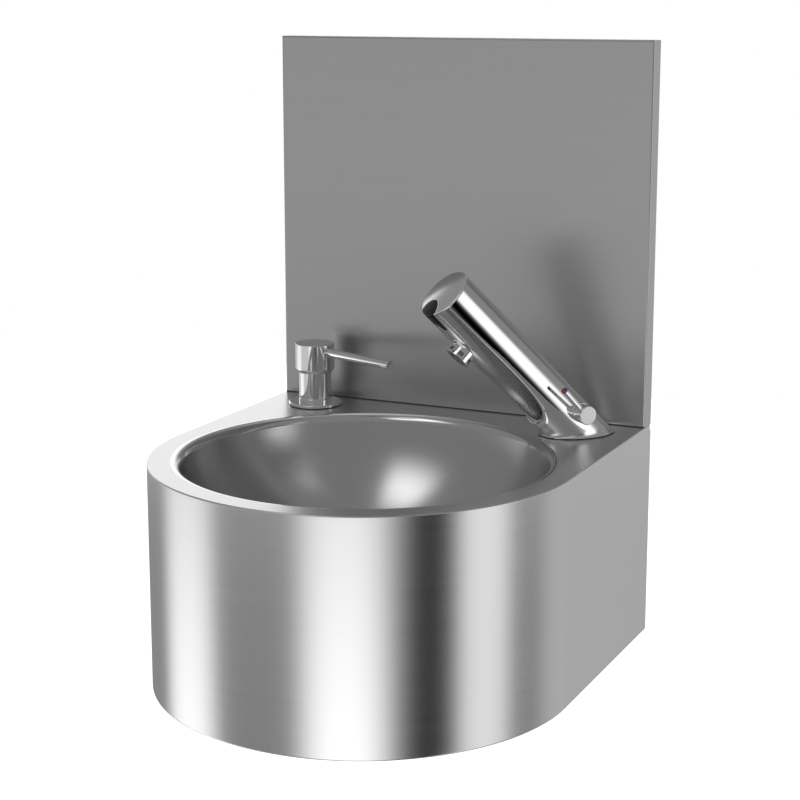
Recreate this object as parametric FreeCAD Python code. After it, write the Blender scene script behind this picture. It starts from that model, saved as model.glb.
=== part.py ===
import FreeCAD, Part
import math
import os

# Wall-hung stainless steel hand wash sink with a splashback, a deck-mounted soap pump
# and a deck-mounted sensor tap. Millimetres. X runs along the wall, +Y points into the
# wall and +Z up. The origin is on the wall plane, on the centre line, level with the deck.

# Basin sheet metal
basin_width = 400.0
bowl_centre_from_wall = 235.0
deck_sheet = 1.5
deck_fold_radius = 2.0
deck_flange_depth = 6.0
skirt_sheet = 1.5
skirt_height = 214.0
skirt_lip_width = 14.0
bowl_sheet = 1.5
bowl_rim_margin = 21.5
bowl_rim_radius = 10.0
bowl_depth = 135.0
waste_seat_radius = 34.0
waste_hole_radius = 22.0
pad_thickness = 3.0
pad_outer_radius = 110.0
pad_inner_radius = 50.0

# Splashback and what fixes it to the wall
splash_height = 375.0
splash_depth = 20.0
splash_sheet = 1.5
splash_bend_radius = 1.8
splash_lip_width = 12.0
stiffener_offset = 90.0
stiffener_width = 44.0
stiffener_flange = 14.0
stiffener_depth = 13.0
stiffener_sheet = 1.2
stiffener_bottom = 45.0
stiffener_top = 262.0
hook_rail_length = 320.0
hook_rail_sheet = 2.0
hook_rail_height = 318.0
hook_rail_flange = 24.0
hook_drop = 14.0
hook_wall_gap = 3.0
wall_rail_length = 300.0
wall_rail_sheet = 2.0
wall_rail_leg = 40.0
wall_rail_clearance = 1.0
wall_screw_offset = 120.0
wall_screw_hole_radius = 3.5
wall_screw_above_leg_foot = 12.0
wall_plate_sheet = 3.0
wall_plate_bottom = 190.0
wall_plate_tab_width = 120.0
wall_plate_tab_height = 30.0
wall_plate_window_width = 180.0
wall_plate_window_height = 90.0
wall_plate_window_bottom = 170.0
wall_bolt_offset = 140.0
wall_bolt_drop = 100.0
wall_bolt_hole_radius = 5.5

# Waste outlet, 1 1/4 inch
strainer_radius = 31.0
strainer_thickness = 2.5
strainer_hole_radius = 3.2
strainer_hole_circle = 14.0
strainer_outer_hole_circle = 21.5
strainer_hole_count = 6
strainer_outer_hole_count = 12
strainer_outer_hole_radius = 2.4
waste_seal_thickness = 1.0
waste_seal_margin = 1.5
waste_gasket_thickness = 3.0
waste_flange_radius = 30.0
waste_flange_thickness = 3.5
waste_tail_radius = 20.95
waste_tail_bore = 17.5
waste_tail_length = 58.0
waste_bar_width = 11.0
waste_bar_height = 6.0
waste_screw_radius = 3.9
waste_screw_head_radius = 7.0
waste_screw_head_height = 1.6
waste_screw_past_bar = 3.0

# Soap pump
pump_from_side = 57.0
pump_from_wall = 61.3
deck_pump_hole_radius = 14.5
rose_radius = 27.5
rose_thickness = 2.8
rose_chamfer = 0.6
rose_seal_thickness = 0.8
rose_seal_margin = 1.5
stem_radius = 16.6
stem_bore = 12.0
stem_top = 39.0
stem_groove_height = 7.2
stem_groove_width = 1.0
stem_groove_depth = 0.7
shank_radius = 13.5
shank_bottom = 46.0
cap_radius = 20.1
cap_bottom = 34.7
cap_chamfer_height = 3.6
cap_chamfer_width = 2.6
cap_top = 64.4
cap_edge_chamfer = 0.4
cap_clearance = 0.5
cap_roof = 11.5
press_travel = 12.0
press_stop_gap = 1.0
spout_height = 57.0
spout_radius = 4.45
spout_bore = 3.3
spout_reach = 110.0
spout_heading = -20.0
liner_clearance = 0.1
liner_bore = 2.2
core_radius = 10.0
core_drop = 10.0
core_clearance = 0.3
rod_radius = 3.5
rod_bore = 1.6
rod_bottom = -4.0
running_clearance = 0.05
loose_clearance = 0.3
cylinder_radius = 9.2
cylinder_bore = 7.6
cylinder_flange_height = 4.0
cylinder_top = 30.0
cylinder_bottom = -40.0
cylinder_floor = 3.0
cylinder_lid = 3.0
nozzle_radius = 3.6
nozzle_length = 10.0
nozzle_bore = 1.8
piston_height = 7.0
spring_wall = 1.2
ball_radius = 2.5
ball_lift_travel = 1.5
ball_cage_wall = 1.0
dip_tube_radius = 4.8
dip_tube_bottom = -168.0
pump_washer_radius = 24.0
pump_washer_thickness = 2.0
pump_nut_flats = 40.0
pump_nut_height = 9.0
bottle_neck_radius = 17.0
bottle_neck_top = -15.0
bottle_neck_height = 20.0
bottle_radius = 38.0
bottle_shoulder_height = 18.0
bottle_bottom = -182.0
bottle_wall = 1.5
bottle_corner = 6.0

# Sensor tap
tap_from_side = 53.5
tap_from_wall = 63.7
tap_heading = -128.9
tap_rise = 45.0
tap_radius = 26.5
tap_head = 207.3
tap_bore = 21.5
tap_bore_floor = 62.0
tap_seal_thickness = 0.8
tap_seal_inset = 1.0
foot_front_margin = 2.6
foot_rear_margin = 0.7
foot_side_margin = 1.0
foot_height = 1.5
deck_tap_hole_radius = 17.5
tap_shank_radius = 16.5
tap_shank_depth = 12.0
tap_below_deck_cut = 60.0
scoop_half_width = 25.3
scoop_foot = 45.2
scoop_end_below_head = 57.3
scoop_tilt = 0.9
cap_edge_radius = 1.4
cap_dome_tilt = 10.0
head_seam_chamfer = 0.35
head_cap_wall = 1.2
head_spigot_radius = 21.4
head_spigot_wall = 2.4
head_spigot_length = 8.0
window_thickness = 2.0
window_half_width = 11.2
window_top = 5.0
window_shoulder = 13.4
window_prong_outer = 10.8
window_prong_inner = 6.6
window_prong_end = 32.4
window_fork = 25.0
sensor_length = 32.0
sensor_below_head = 39.3
sensor_width = 24.0
sensor_rear = 12.0
sensor_front = 13.0
sensor_eye_radius = 5.0
sensor_eye_reach = 18.0
sensor_eye_clearance = 0.4
sensor_eye_bore_reach = 22.0
aerator_below_head = 53.3
aerator_radius = 12.1
aerator_stand_out = 8.0
aerator_inside = 18.0
aerator_bore = 9.4
aerator_rim = 1.8
aerator_slot_count = 6
aerator_slot_width = 5.4
aerator_slot_height = 4.2
aerator_insert_recess = 1.2
aerator_insert_length = 9.0
aerator_hole_radius = 0.9
aerator_hole_rings = 3
aerator_seal_thickness = 2.0
aerator_seal_bore = 6.5
aerator_fit = 0.1
water_tube_radius = 4.0
water_tube_bore = 3.0
water_tube_offset = 10.0
solenoid_radius = 13.5
solenoid_length = 36.0
solenoid_cap_radius = 9.0
solenoid_cap_length = 8.0

# Temperature knob and its cartridge, set across the tap
knob_along = 27.2
knob_above_axis = 9.3
knob_radius = 9.2
knob_face = 38.6
knob_face_chamfer = 0.8
knob_gap = 0.3
knob_boss_radius = 9.7
knob_boss_face = 26.3
cartridge_radius = 7.8
cartridge_back = 14.0
cartridge_front = 19.5
cartridge_fit = 0.1
cartridge_nut_thickness = 4.0
spindle_radius = 4.0
spindle_depth = 12.0
spindle_end_wall = 2.5
lever_radius = 3.0
lever_from_face = 6.2
lever_length = 37.5
lever_lean = 9.0
lever_mark_thickness = 1.4
lever_mark_radius = 3.15
grub_screw_radius = 2.0
grub_screw_length = 4.0
grub_socket_radius = 1.0
mixed_water_bore = 3.5
mixed_water_offset = 5.0

# Tap fixing and supply ports under the deck
port_radius = 4.3
port_length = 10.0
port_forward = 6.0
port_side = 7.0
port_top = 22.0
supply_tail_radius = 6.0
supply_tail_bore = 2.8
supply_tail_length = 34.0
supply_tail_screwed_in = 9.0
supply_hex_flats = 12.5
supply_hex_height = 6.0
stud_radius = 3.0
stud_back = 9.5
stud_bottom = -62.0
stud_top = 9.0
clamp_gasket_thickness = 3.0
clamp_gasket_radius = 25.0
clamp_plate_thickness = 3.0
clamp_plate_radius = 24.0
clamp_mouth_width = 29.0
clamp_back_width = 12.0
tap_nut_flats = 11.0
tap_nut_height = 9.0

half_width = basin_width / 2.0
bowl_opening_radius = half_width - bowl_rim_margin
pump_x = pump_from_side - half_width
tap_x = half_width - tap_from_side
scoop_fade = tap_head - scoop_end_below_head
sensor_bottom = tap_head - sensor_below_head
aerator_along = tap_head - aerator_below_head
basin_depth = bowl_centre_from_wall + half_width
full_turn = 360.0
half_turn = 180.0
quarter_turn = 90.0
up = FreeCAD.Vector(0, 0, 1)
across = FreeCAD.Vector(0, 1, 0)
along_wall = FreeCAD.Vector(1, 0, 0)
zero = FreeCAD.Vector(0, 0, 0)


def point(x, y, z):
    return FreeCAD.Vector(x, y, z)


def rod(radius, low, high, x=0.0, y=0.0):
    """Upright solid cylinder from height low to height high."""
    return Part.makeCylinder(radius, high - low, point(x, y, low), up)


def tube(outer, inner, low, high, x=0.0, y=0.0):
    return rod(outer, low, high, x, y).cut(rod(inner, low, high, x, y))


def block(x_low, x_high, y_low, y_high, z_low, z_high):
    return Part.makeBox(x_high - x_low, y_high - y_low, z_high - z_low, point(x_low, y_low, z_low))


def bar_across(radius, start, end, x=0.0, z=0.0):
    """Solid cylinder along +Y from start to end."""
    return Part.makeCylinder(radius, end - start, point(x, start, z), across)


def bar_along(radius, start, end, y=0.0, z=0.0):
    """Solid cylinder along +X from start to end."""
    return Part.makeCylinder(radius, end - start, point(start, y, z), along_wall)


def hex_prism(flats, low, high, x=0.0, y=0.0):
    corner = flats / math.sqrt(3.0)
    corners = [
        point(x + corner * math.cos(math.radians(turn)), y + corner * math.sin(math.radians(turn)), low)
        for turn in range(0, 361, 60)
    ]
    return Part.Face(Part.makePolygon(corners)).extrude(point(0, 0, high - low))


def turned(edges):
    """Solid made by turning a closed profile in the XZ plane about the Z axis."""
    face = Part.Face(Part.Wire(edges))
    solid = face.revolve(zero, up, full_turn)
    return solid


def line(a, b):
    return Part.makeLine(a, b)


def arc(a, middle, b):
    return Part.Arc(a, middle, b).toShape()


def polygon_turned(profile):
    corners = [point(r, 0, z) for r, z in profile]
    corners.append(corners[0])
    return Part.Face(Part.makePolygon(corners)).revolve(zero, up, full_turn)


def save(shape, name):
    shape.exportStep("parts/" + name + ".step")


def d_prism(inset, low, high, back_y):
    """Plan of the basin: two straight sides off the wall and a half-round front."""
    half = half_width - inset
    front_y = -bowl_centre_from_wall
    left_back = point(-half, back_y, low)
    left_front = point(-half, front_y, low)
    nose = point(0, front_y - half, low)
    right_front = point(half, front_y, low)
    right_back = point(half, back_y, low)
    edges = [
        line(left_back, left_front),
        arc(left_front, nose, right_front),
        line(right_front, right_back),
        line(right_back, left_back),
    ]
    return Part.Face(Part.Wire(edges)).extrude(point(0, 0, high - low))


def round_edges(shape, radius, wanted):
    chosen = [edge for edge in shape.Edges if wanted(edge)]
    return shape.makeFillet(radius, chosen)


# ---------------------------------------------------------------- basin

sphere_rise = (bowl_opening_radius ** 2 - bowl_depth ** 2) / (2.0 * bowl_depth) - bowl_rim_radius
sphere_radius = sphere_rise + bowl_depth
seat_height = sphere_rise - math.sqrt(sphere_radius ** 2 - waste_seat_radius ** 2)
seat_floor = -bowl_depth
bowl_underside = seat_floor - bowl_sheet


def to_bowl(shape):
    shape.translate(point(0, -bowl_centre_from_wall, 0))
    return shape


def tap_deck_point():
    return point(tap_x, -tap_from_wall, 0)


def make_deck():
    """Flat deck plate, folded down all round its D outline, with three openings."""
    outer = d_prism(0.0, -deck_flange_depth, 0.0, -wall_plate_sheet)

    def top_outline(edge):
        box = edge.BoundBox
        on_top = box.ZMin > -deck_sheet / 2.0
        return on_top and box.YMin < -wall_plate_sheet - deck_sheet

    outer = round_edges(outer, deck_fold_radius, top_outline)
    inner = d_prism(deck_sheet, -deck_flange_depth, -deck_sheet, 0.0)
    deck = outer.cut(inner)
    through = deck_flange_depth * 2.0
    deck = deck.cut(rod(bowl_opening_radius, -through, through, 0.0, -bowl_centre_from_wall))
    deck = deck.cut(rod(deck_pump_hole_radius, -through, through, pump_x, -pump_from_wall))
    return deck.cut(rod(deck_tap_hole_radius, -through, through, tap_x, -tap_from_wall))


def make_bowl():
    """Pressed round bowl: rolled rim, spherical wall, and a flat recessed seat for the waste."""
    rim_centre_r = bowl_opening_radius
    rim_centre_z = -bowl_rim_radius
    reach = math.hypot(rim_centre_r, rim_centre_z - sphere_rise)
    side = rim_centre_r / reach
    fall = (rim_centre_z - sphere_rise) / reach
    outer_rim = bowl_rim_radius - bowl_sheet
    outer_sphere = sphere_radius + bowl_sheet

    def on_rim(radius, turn):
        return point(rim_centre_r + radius * math.cos(turn), 0, rim_centre_z + radius * math.sin(turn))

    def on_sphere(radius, across_r):
        return point(across_r, 0, sphere_rise - math.sqrt(radius ** 2 - across_r ** 2))

    rim_end_turn = math.atan2(-fall, -side)
    top_turn = math.pi / 2.0
    middle_turn = (rim_end_turn + top_turn) / 2.0
    inner_end = on_rim(bowl_rim_radius, rim_end_turn)
    outer_end = on_rim(outer_rim, rim_end_turn)
    middle_r = inner_end.x / 1.4
    inner_seat = on_sphere(sphere_radius, waste_seat_radius)
    outer_seat = on_sphere(outer_sphere, waste_seat_radius + bowl_sheet)
    inner_foot = point(waste_seat_radius, 0, seat_floor)
    outer_foot = point(waste_seat_radius + bowl_sheet, 0, bowl_underside)
    inner_hole = point(waste_hole_radius, 0, seat_floor)
    outer_hole = point(waste_hole_radius, 0, bowl_underside)
    edges = [
        arc(on_rim(bowl_rim_radius, top_turn), on_rim(bowl_rim_radius, middle_turn), inner_end),
        arc(inner_end, on_sphere(sphere_radius, middle_r), inner_seat),
        line(inner_seat, inner_foot),
        line(inner_foot, inner_hole),
        line(inner_hole, outer_hole),
        line(outer_hole, outer_foot),
        line(outer_foot, outer_seat),
        arc(outer_seat, on_sphere(outer_sphere, middle_r), outer_end),
        arc(outer_end, on_rim(outer_rim, middle_turn), on_rim(outer_rim, top_turn)),
        line(on_rim(outer_rim, top_turn), on_rim(bowl_rim_radius, top_turn)),
    ]
    return to_bowl(turned(edges))


def make_sound_pad():
    """Bitumen ring stuck under the bowl to deaden the sound of falling water."""
    inner_ball = sphere_radius + bowl_sheet
    outer_ball = inner_ball + pad_thickness

    def under(radius, across_r):
        return point(across_r, 0, sphere_rise - math.sqrt(radius ** 2 - across_r ** 2))

    middle = (pad_inner_radius + pad_outer_radius) / 2.0
    upper_in = under(inner_ball, pad_inner_radius)
    upper_out = under(inner_ball, pad_outer_radius)
    lower_in = under(outer_ball, pad_inner_radius)
    lower_out = under(outer_ball, pad_outer_radius)
    edges = [
        arc(upper_in, under(inner_ball, middle), upper_out),
        line(upper_out, lower_out),
        arc(lower_out, under(outer_ball, middle), lower_in),
        line(lower_in, upper_in),
    ]
    return to_bowl(turned(edges))


def make_skirt():
    """U-shaped apron under the deck, open below, with a lip turned in along its bottom edge."""
    shell = d_prism(0.0, -skirt_height, -deck_flange_depth, 0.0)
    hollow = d_prism(skirt_sheet, -skirt_height + skirt_sheet, -deck_flange_depth, skirt_sheet)
    opening = d_prism(skirt_lip_width, -skirt_height, -skirt_height + skirt_sheet, skirt_sheet)
    return shell.cut(hollow).cut(opening)


# ---------------------------------------------------------------- splashback and wall fixings

def make_splashback():
    """Tray-folded splashback: front panel, side and top returns, and narrow lips at the wall."""
    outer = block(-half_width, half_width, -splash_depth, 0.0, 0.0, splash_height)

    def front_outline(edge):
        box = edge.BoundBox
        at_front = box.YMax < -splash_depth + splash_sheet
        return at_front and box.ZMax > splash_sheet

    outer = round_edges(outer, splash_bend_radius, front_outline)
    inner_half = half_width - splash_sheet
    inner_top = splash_height - splash_sheet
    hollow = block(-inner_half, inner_half, splash_sheet - splash_depth, -splash_sheet, 0.0, inner_top)
    lip_half = half_width - splash_lip_width
    lip_top = splash_height - splash_lip_width
    opening = block(-lip_half, lip_half, -splash_sheet, 0.0, 0.0, lip_top)
    return outer.cut(hollow).cut(opening)


def make_stiffeners():
    """Two top-hat channels welded upright behind the splashback panel."""
    back_of_panel = splash_sheet - splash_depth
    half = stiffener_width / 2.0
    channels = []
    for side in (-1.0, 1.0):
        middle = side * stiffener_offset
        hat = block(
            middle - half, middle + half, back_of_panel, back_of_panel + stiffener_depth,
            stiffener_bottom, stiffener_top,
        )
        hollow_half = half - stiffener_sheet
        hat = hat.cut(block(
            middle - hollow_half, middle + hollow_half, back_of_panel,
            back_of_panel + stiffener_depth - stiffener_sheet, stiffener_bottom, stiffener_top,
        ))
        foot_half = half + stiffener_flange
        feet = block(
            middle - foot_half, middle + foot_half, back_of_panel, back_of_panel + stiffener_sheet,
            stiffener_bottom, stiffener_top,
        )
        feet = feet.cut(block(
            middle - hollow_half, middle + hollow_half, back_of_panel, back_of_panel + stiffener_depth,
            stiffener_bottom, stiffener_top,
        ))
        channels.append(hat.fuse(feet).removeSplitter())
    return Part.makeCompound(channels)


def make_hook_rail():
    """Rail welded behind the panel whose down-turned leg drops behind the wall rail."""
    back_of_panel = splash_sheet - splash_depth
    half = hook_rail_length / 2.0
    leg_back = -hook_wall_gap
    leg_front = leg_back - hook_rail_sheet
    shelf_top = hook_rail_height + hook_rail_sheet
    shelf = block(-half, half, back_of_panel, leg_back, hook_rail_height, shelf_top)
    leg = block(-half, half, leg_front, leg_back, hook_rail_height - hook_drop, shelf_top)
    flange = block(
        -half, half, back_of_panel, back_of_panel + hook_rail_sheet,
        hook_rail_height, hook_rail_height + hook_rail_flange,
    )
    return shelf.fuse(leg).fuse(flange).removeSplitter()


def wall_rail_levels():
    leg_front = -hook_wall_gap - hook_rail_sheet
    upstand_back = leg_front - wall_rail_clearance
    shelf_top = hook_rail_height - hook_drop - wall_rail_clearance
    return upstand_back, shelf_top


def wall_screw_height():
    upstand_back, shelf_top = wall_rail_levels()
    return shelf_top - wall_rail_leg + wall_screw_above_leg_foot


def make_wall_rail():
    """Rail screwed to the wall first; its upstand carries the splashback's hook rail."""
    upstand_back, shelf_top = wall_rail_levels()
    half = wall_rail_length / 2.0
    upstand_front = upstand_back - wall_rail_sheet
    upstand = block(-half, half, upstand_front, upstand_back, shelf_top - wall_rail_sheet, hook_rail_height)
    shelf = block(-half, half, upstand_front, 0.0, shelf_top - wall_rail_sheet, shelf_top)
    leg = block(-half, half, -wall_rail_sheet, 0.0, shelf_top - wall_rail_leg, shelf_top)
    rail = upstand.fuse(shelf).fuse(leg).removeSplitter()
    for side in (-1.0, 1.0):
        rail = rail.cut(bar_across(
            wall_screw_hole_radius, -wall_rail_sheet, wall_rail_sheet,
            side * wall_screw_offset, wall_screw_height(),
        ))
    return rail


def make_wall_plate():
    """Rear plate welded between the skirt's sides, with two bolt holes and a service window."""
    half = half_width - skirt_sheet
    plate = block(-half, half, -wall_plate_sheet, 0.0, -wall_plate_bottom, -deck_flange_depth)
    neck_half = half_width - skirt_sheet - splash_lip_width
    neck = block(-neck_half, neck_half, -wall_plate_sheet, 0.0, -deck_flange_depth, 0.0)
    tab_half = wall_plate_tab_width / 2.0
    tab = block(-tab_half, tab_half, -wall_plate_sheet, 0.0, 0.0, wall_plate_tab_height)
    plate = plate.fuse(neck).fuse(tab).removeSplitter()
    window_half = wall_plate_window_width / 2.0
    window_low = -wall_plate_window_bottom
    window_high = window_low + wall_plate_window_height
    plate = plate.cut(block(-window_half, window_half, -wall_plate_sheet, 0.0, window_low, window_high))
    for side in (-1.0, 1.0):
        plate = plate.cut(bar_across(
            wall_bolt_hole_radius, -wall_plate_sheet, wall_plate_sheet,
            side * wall_bolt_offset, -wall_bolt_drop,
        ))
    return plate


# ---------------------------------------------------------------- waste outlet

strainer_bottom = seat_floor + waste_seal_thickness
strainer_top = strainer_bottom + strainer_thickness
waste_flange_top = bowl_underside - waste_gasket_thickness
waste_tail_bottom = waste_flange_top - waste_tail_length
waste_bar_top = waste_flange_top - waste_flange_thickness


def ring_of_holes(radius, circle, count, low, high):
    holes = []
    for place in range(count):
        turn = 2.0 * math.pi * place / count
        holes.append(rod(radius, low, high, circle * math.cos(turn), circle * math.sin(turn)))
    return Part.makeCompound(holes)


def make_strainer():
    """Polished strainer plate, level with the bowl floor, held down by the centre screw."""
    plate = rod(strainer_radius, strainer_bottom, strainer_top)

    def top_rim(edge):
        box = edge.BoundBox
        return box.ZMin > strainer_bottom + strainer_thickness / 2.0

    plate = round_edges(plate, strainer_thickness / 2.0, top_rim)
    inner_ring = ring_of_holes(
        strainer_hole_radius, strainer_hole_circle, strainer_hole_count, strainer_bottom, strainer_top)
    outer_ring = ring_of_holes(
        strainer_outer_hole_radius, strainer_outer_hole_circle, strainer_outer_hole_count,
        strainer_bottom, strainer_top)
    hole = rod(waste_screw_radius + loose_clearance, strainer_bottom, strainer_top)
    return to_bowl(plate.cut(inner_ring).cut(outer_ring).cut(hole))


def make_waste_seal():
    outer = strainer_radius - waste_seal_margin
    inner = waste_hole_radius + waste_seal_margin
    return to_bowl(tube(outer, inner, seat_floor, strainer_bottom))


def make_waste_gasket():
    return to_bowl(tube(waste_flange_radius, waste_hole_radius, waste_flange_top, bowl_underside))


def make_waste_body():
    """Waste body: flange under the bowl, threaded tail, and a cross bar for the centre screw."""
    flange = rod(waste_flange_radius, waste_flange_top - waste_flange_thickness, waste_flange_top)
    tail = rod(waste_tail_radius, waste_tail_bottom, waste_flange_top)
    body = flange.fuse(tail).removeSplitter()
    body = body.cut(rod(waste_tail_bore, waste_tail_bottom, waste_flange_top))
    half_bar = waste_bar_width / 2.0
    reach = waste_tail_bore + (waste_tail_radius - waste_tail_bore) / 2.0
    bar = block(-reach, reach, -half_bar, half_bar, waste_bar_top - waste_bar_height, waste_bar_top)
    body = body.fuse(bar).removeSplitter()
    thread = rod(waste_screw_radius, waste_bar_top - waste_bar_height, waste_bar_top)
    return to_bowl(body.cut(thread))


def make_waste_screw():
    head_top = strainer_top + waste_screw_head_height
    head = rod(waste_screw_head_radius, strainer_top, head_top)

    def top_rim(edge):
        return edge.BoundBox.ZMin > strainer_top + waste_screw_head_height / 2.0

    head = round_edges(head, waste_screw_head_height / 2.0, top_rim)
    slot_half = waste_screw_head_height / 3.0
    slot = block(
        -waste_screw_head_radius, waste_screw_head_radius, -slot_half, slot_half,
        strainer_top + waste_screw_head_height / 2.0, head_top,
    )
    shank = rod(waste_screw_radius, waste_bar_top - waste_bar_height - waste_screw_past_bar, strainer_top)
    return to_bowl(head.cut(slot).fuse(shank).removeSplitter())


# ---------------------------------------------------------------- soap pump

rose_bottom = rose_seal_thickness
rose_top = rose_bottom + rose_thickness
cap_ceiling = cap_top - cap_roof
piston_top = rod_bottom + piston_height
cylinder_inside_floor = cylinder_bottom + cylinder_floor
ball_height = cylinder_bottom - nozzle_length / 2.0 + ball_radius
ball_cage_radius = ball_radius + loose_clearance
pump_washer_top = -deck_sheet
pump_nut_top = pump_washer_top - pump_washer_thickness


def to_pump(shape):
    shape.translate(point(pump_x, -pump_from_wall, 0))
    return shape


def make_pump_rose():
    ring = tube(rose_radius, shank_radius + loose_clearance, rose_bottom, rose_top)

    def upper_rim(edge):
        box = edge.BoundBox
        return box.ZMin > rose_bottom + rose_thickness / 2.0 and box.XLength > rose_radius

    chosen = [edge for edge in ring.Edges if upper_rim(edge)]
    return to_pump(ring.makeChamfer(rose_chamfer, chosen))


def make_pump_rose_seal():
    return to_pump(tube(rose_radius - rose_seal_margin, deck_pump_hole_radius, 0.0, rose_seal_thickness))


def make_pump_collar():
    """Chromed sleeve that stands on the rose; its threaded shank goes through the deck."""
    stem = rod(stem_radius, rose_top, stem_top)
    groove = tube(
        stem_radius + stem_groove_depth, stem_radius - stem_groove_depth,
        stem_groove_height, stem_groove_height + stem_groove_width,
    )
    shank = rod(shank_radius, -shank_bottom, rose_top)
    body = stem.cut(groove).fuse(shank).removeSplitter()
    return to_pump(body.cut(rod(stem_bore, -shank_bottom, stem_top)))


def make_pump_cap():
    """Push cap: a chromed cup that slides over the sleeve, with the spout through its wall."""
    chamfer_top = cap_bottom + cap_chamfer_height
    outside = [
        (0.0, cap_bottom),
        (cap_radius - cap_chamfer_width, cap_bottom),
        (cap_radius, chamfer_top),
        (cap_radius, cap_top - cap_edge_chamfer),
        (cap_radius - cap_edge_chamfer, cap_top),
        (0.0, cap_top),
    ]
    cup = polygon_turned(outside)
    cup = cup.cut(rod(stem_radius + cap_clearance, cap_bottom, cap_ceiling))
    cup = cup.cut(rod(core_radius, cap_ceiling, spout_height + spout_radius + liner_clearance))
    cup = cup.cut(bar_along(spout_radius, 0.0, cap_radius * 2.0, 0.0, spout_height))
    return turn_to_spout(cup)


def turn_to_spout(shape):
    shape.rotate(zero, up, spout_heading)
    return to_pump(shape)


def make_pump_core():
    """Plastic core inside the cap: it turns on the rod and carries the spout's liner."""
    top = spout_height + spout_radius + liner_clearance
    low = cap_ceiling - core_drop
    core = rod(core_radius, cap_ceiling, top).fuse(rod(core_radius - core_clearance, low, cap_ceiling))
    core = core.removeSplitter()
    core = core.cut(rod(rod_radius + running_clearance, low, spout_height))
    return turn_to_spout(core.cut(bar_along(spout_radius, 0.0, core_radius, 0.0, spout_height)))


def make_pump_spout():
    start = rod_radius + loose_clearance + liner_clearance
    pipe = bar_along(spout_radius, start, spout_reach, 0.0, spout_height)
    return turn_to_spout(pipe.cut(bar_along(spout_bore, start, spout_reach, 0.0, spout_height)))


def make_pump_liner():
    start = rod_radius + loose_clearance + liner_clearance
    pipe = bar_along(spout_bore - liner_clearance, start, spout_reach - spout_radius, 0.0, spout_height)
    bore = bar_along(liner_bore, start, spout_reach, 0.0, spout_height)
    return turn_to_spout(pipe.cut(bore))


def make_pump_rod():
    top = spout_height - loose_clearance
    return to_pump(tube(rod_radius, rod_bore, rod_bottom, top))


def make_piston_seal():
    seal = tube(cylinder_bore - running_clearance, rod_radius, rod_bottom, piston_top)
    waist_low = rod_bottom + piston_height / 3.0
    waist_high = piston_top - piston_height / 3.0
    waist = tube(cylinder_bore, (cylinder_bore + rod_radius) / 2.0, waist_low, waist_high)
    return to_pump(seal.cut(waist))


def make_pump_cylinder():
    """Plastic pump barrel hung inside the sleeve, with a ball cage at its foot."""
    flange = rod(stem_bore - running_clearance, cylinder_top - cylinder_flange_height, cylinder_top)
    barrel = rod(cylinder_radius, cylinder_bottom, cylinder_top)
    nozzle = rod(nozzle_radius, cylinder_bottom - nozzle_length, cylinder_bottom)
    body = flange.fuse(barrel).fuse(nozzle).removeSplitter()
    body = body.cut(rod(cylinder_bore, cylinder_inside_floor, cylinder_top - cylinder_lid))
    body = body.cut(rod(rod_radius + running_clearance, cylinder_top - cylinder_lid, cylinder_top))
    cage_low = ball_height - ball_radius
    cage_high = ball_height + ball_radius + ball_lift_travel + loose_clearance
    body = body.cut(rod(nozzle_bore, cylinder_bottom - nozzle_length, cage_low))
    return to_pump(body.cut(rod(ball_cage_radius, cage_low, cage_high).fuse(
        rod(nozzle_bore, cage_high, cylinder_inside_floor))))


def make_pump_spring():
    """Return spring under the piston, as the sleeve of space that its coil fills."""
    outer = cylinder_bore - loose_clearance
    return to_pump(tube(outer, outer - spring_wall, cylinder_inside_floor, rod_bottom))


def make_pump_ball():
    ball = Part.makeSphere(ball_radius, point(0, 0, ball_height))
    return to_pump(ball)


def make_dip_tube():
    top = cylinder_bottom - nozzle_length / 3.0
    pipe = rod(dip_tube_radius, dip_tube_bottom, top)
    return to_pump(pipe.cut(rod(nozzle_radius, dip_tube_bottom, top)))


def make_pump_washer():
    low = pump_washer_top - pump_washer_thickness
    return to_pump(tube(pump_washer_radius, shank_radius + loose_clearance, low, pump_washer_top))


def make_pump_nut():
    nut = hex_prism(pump_nut_flats, pump_nut_top - pump_nut_height, pump_nut_top)
    return to_pump(nut.cut(rod(shank_radius, pump_nut_top - pump_nut_height, pump_nut_top)))


def make_bottle():
    """Blow-moulded soap bottle that screws up onto the pump's shank under the deck."""
    neck_low = bottle_neck_top - bottle_neck_height
    shoulder_low = neck_low - bottle_shoulder_height
    inside_bottom = bottle_bottom + bottle_wall
    profile = [
        (shank_radius, bottle_neck_top),
        (bottle_neck_radius, bottle_neck_top),
        (bottle_neck_radius, neck_low),
        (bottle_radius, shoulder_low),
        (bottle_radius, bottle_bottom + bottle_corner),
        (bottle_radius - bottle_corner, bottle_bottom),
        (0.0, bottle_bottom),
        (0.0, inside_bottom),
        (bottle_radius - bottle_corner, inside_bottom),
        (bottle_radius - bottle_wall, bottle_bottom + bottle_corner),
        (bottle_radius - bottle_wall, shoulder_low),
        (shank_radius, neck_low - bottle_wall),
    ]
    return to_pump(polygon_turned(profile))


# ---------------------------------------------------------------- sensor tap
# The tap is drawn along its own axis, +Z from the deck to the head, +X towards its
# underside and +Y towards its knob, and is then leaned over and turned on the deck.

def place_tap(shape):
    shape.rotate(zero, across, quarter_turn - tap_rise)
    shape.rotate(zero, up, tap_heading)
    shape.translate(tap_deck_point())
    return shape


def on_tap_deck(forward, sideways):
    """Point on the deck, measured from the tap's hole along and across its heading."""
    turn = math.radians(tap_heading)
    x = tap_x + forward * math.cos(turn) - sideways * math.sin(turn)
    y = -tap_from_wall + forward * math.sin(turn) + sideways * math.cos(turn)
    return x, y


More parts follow.
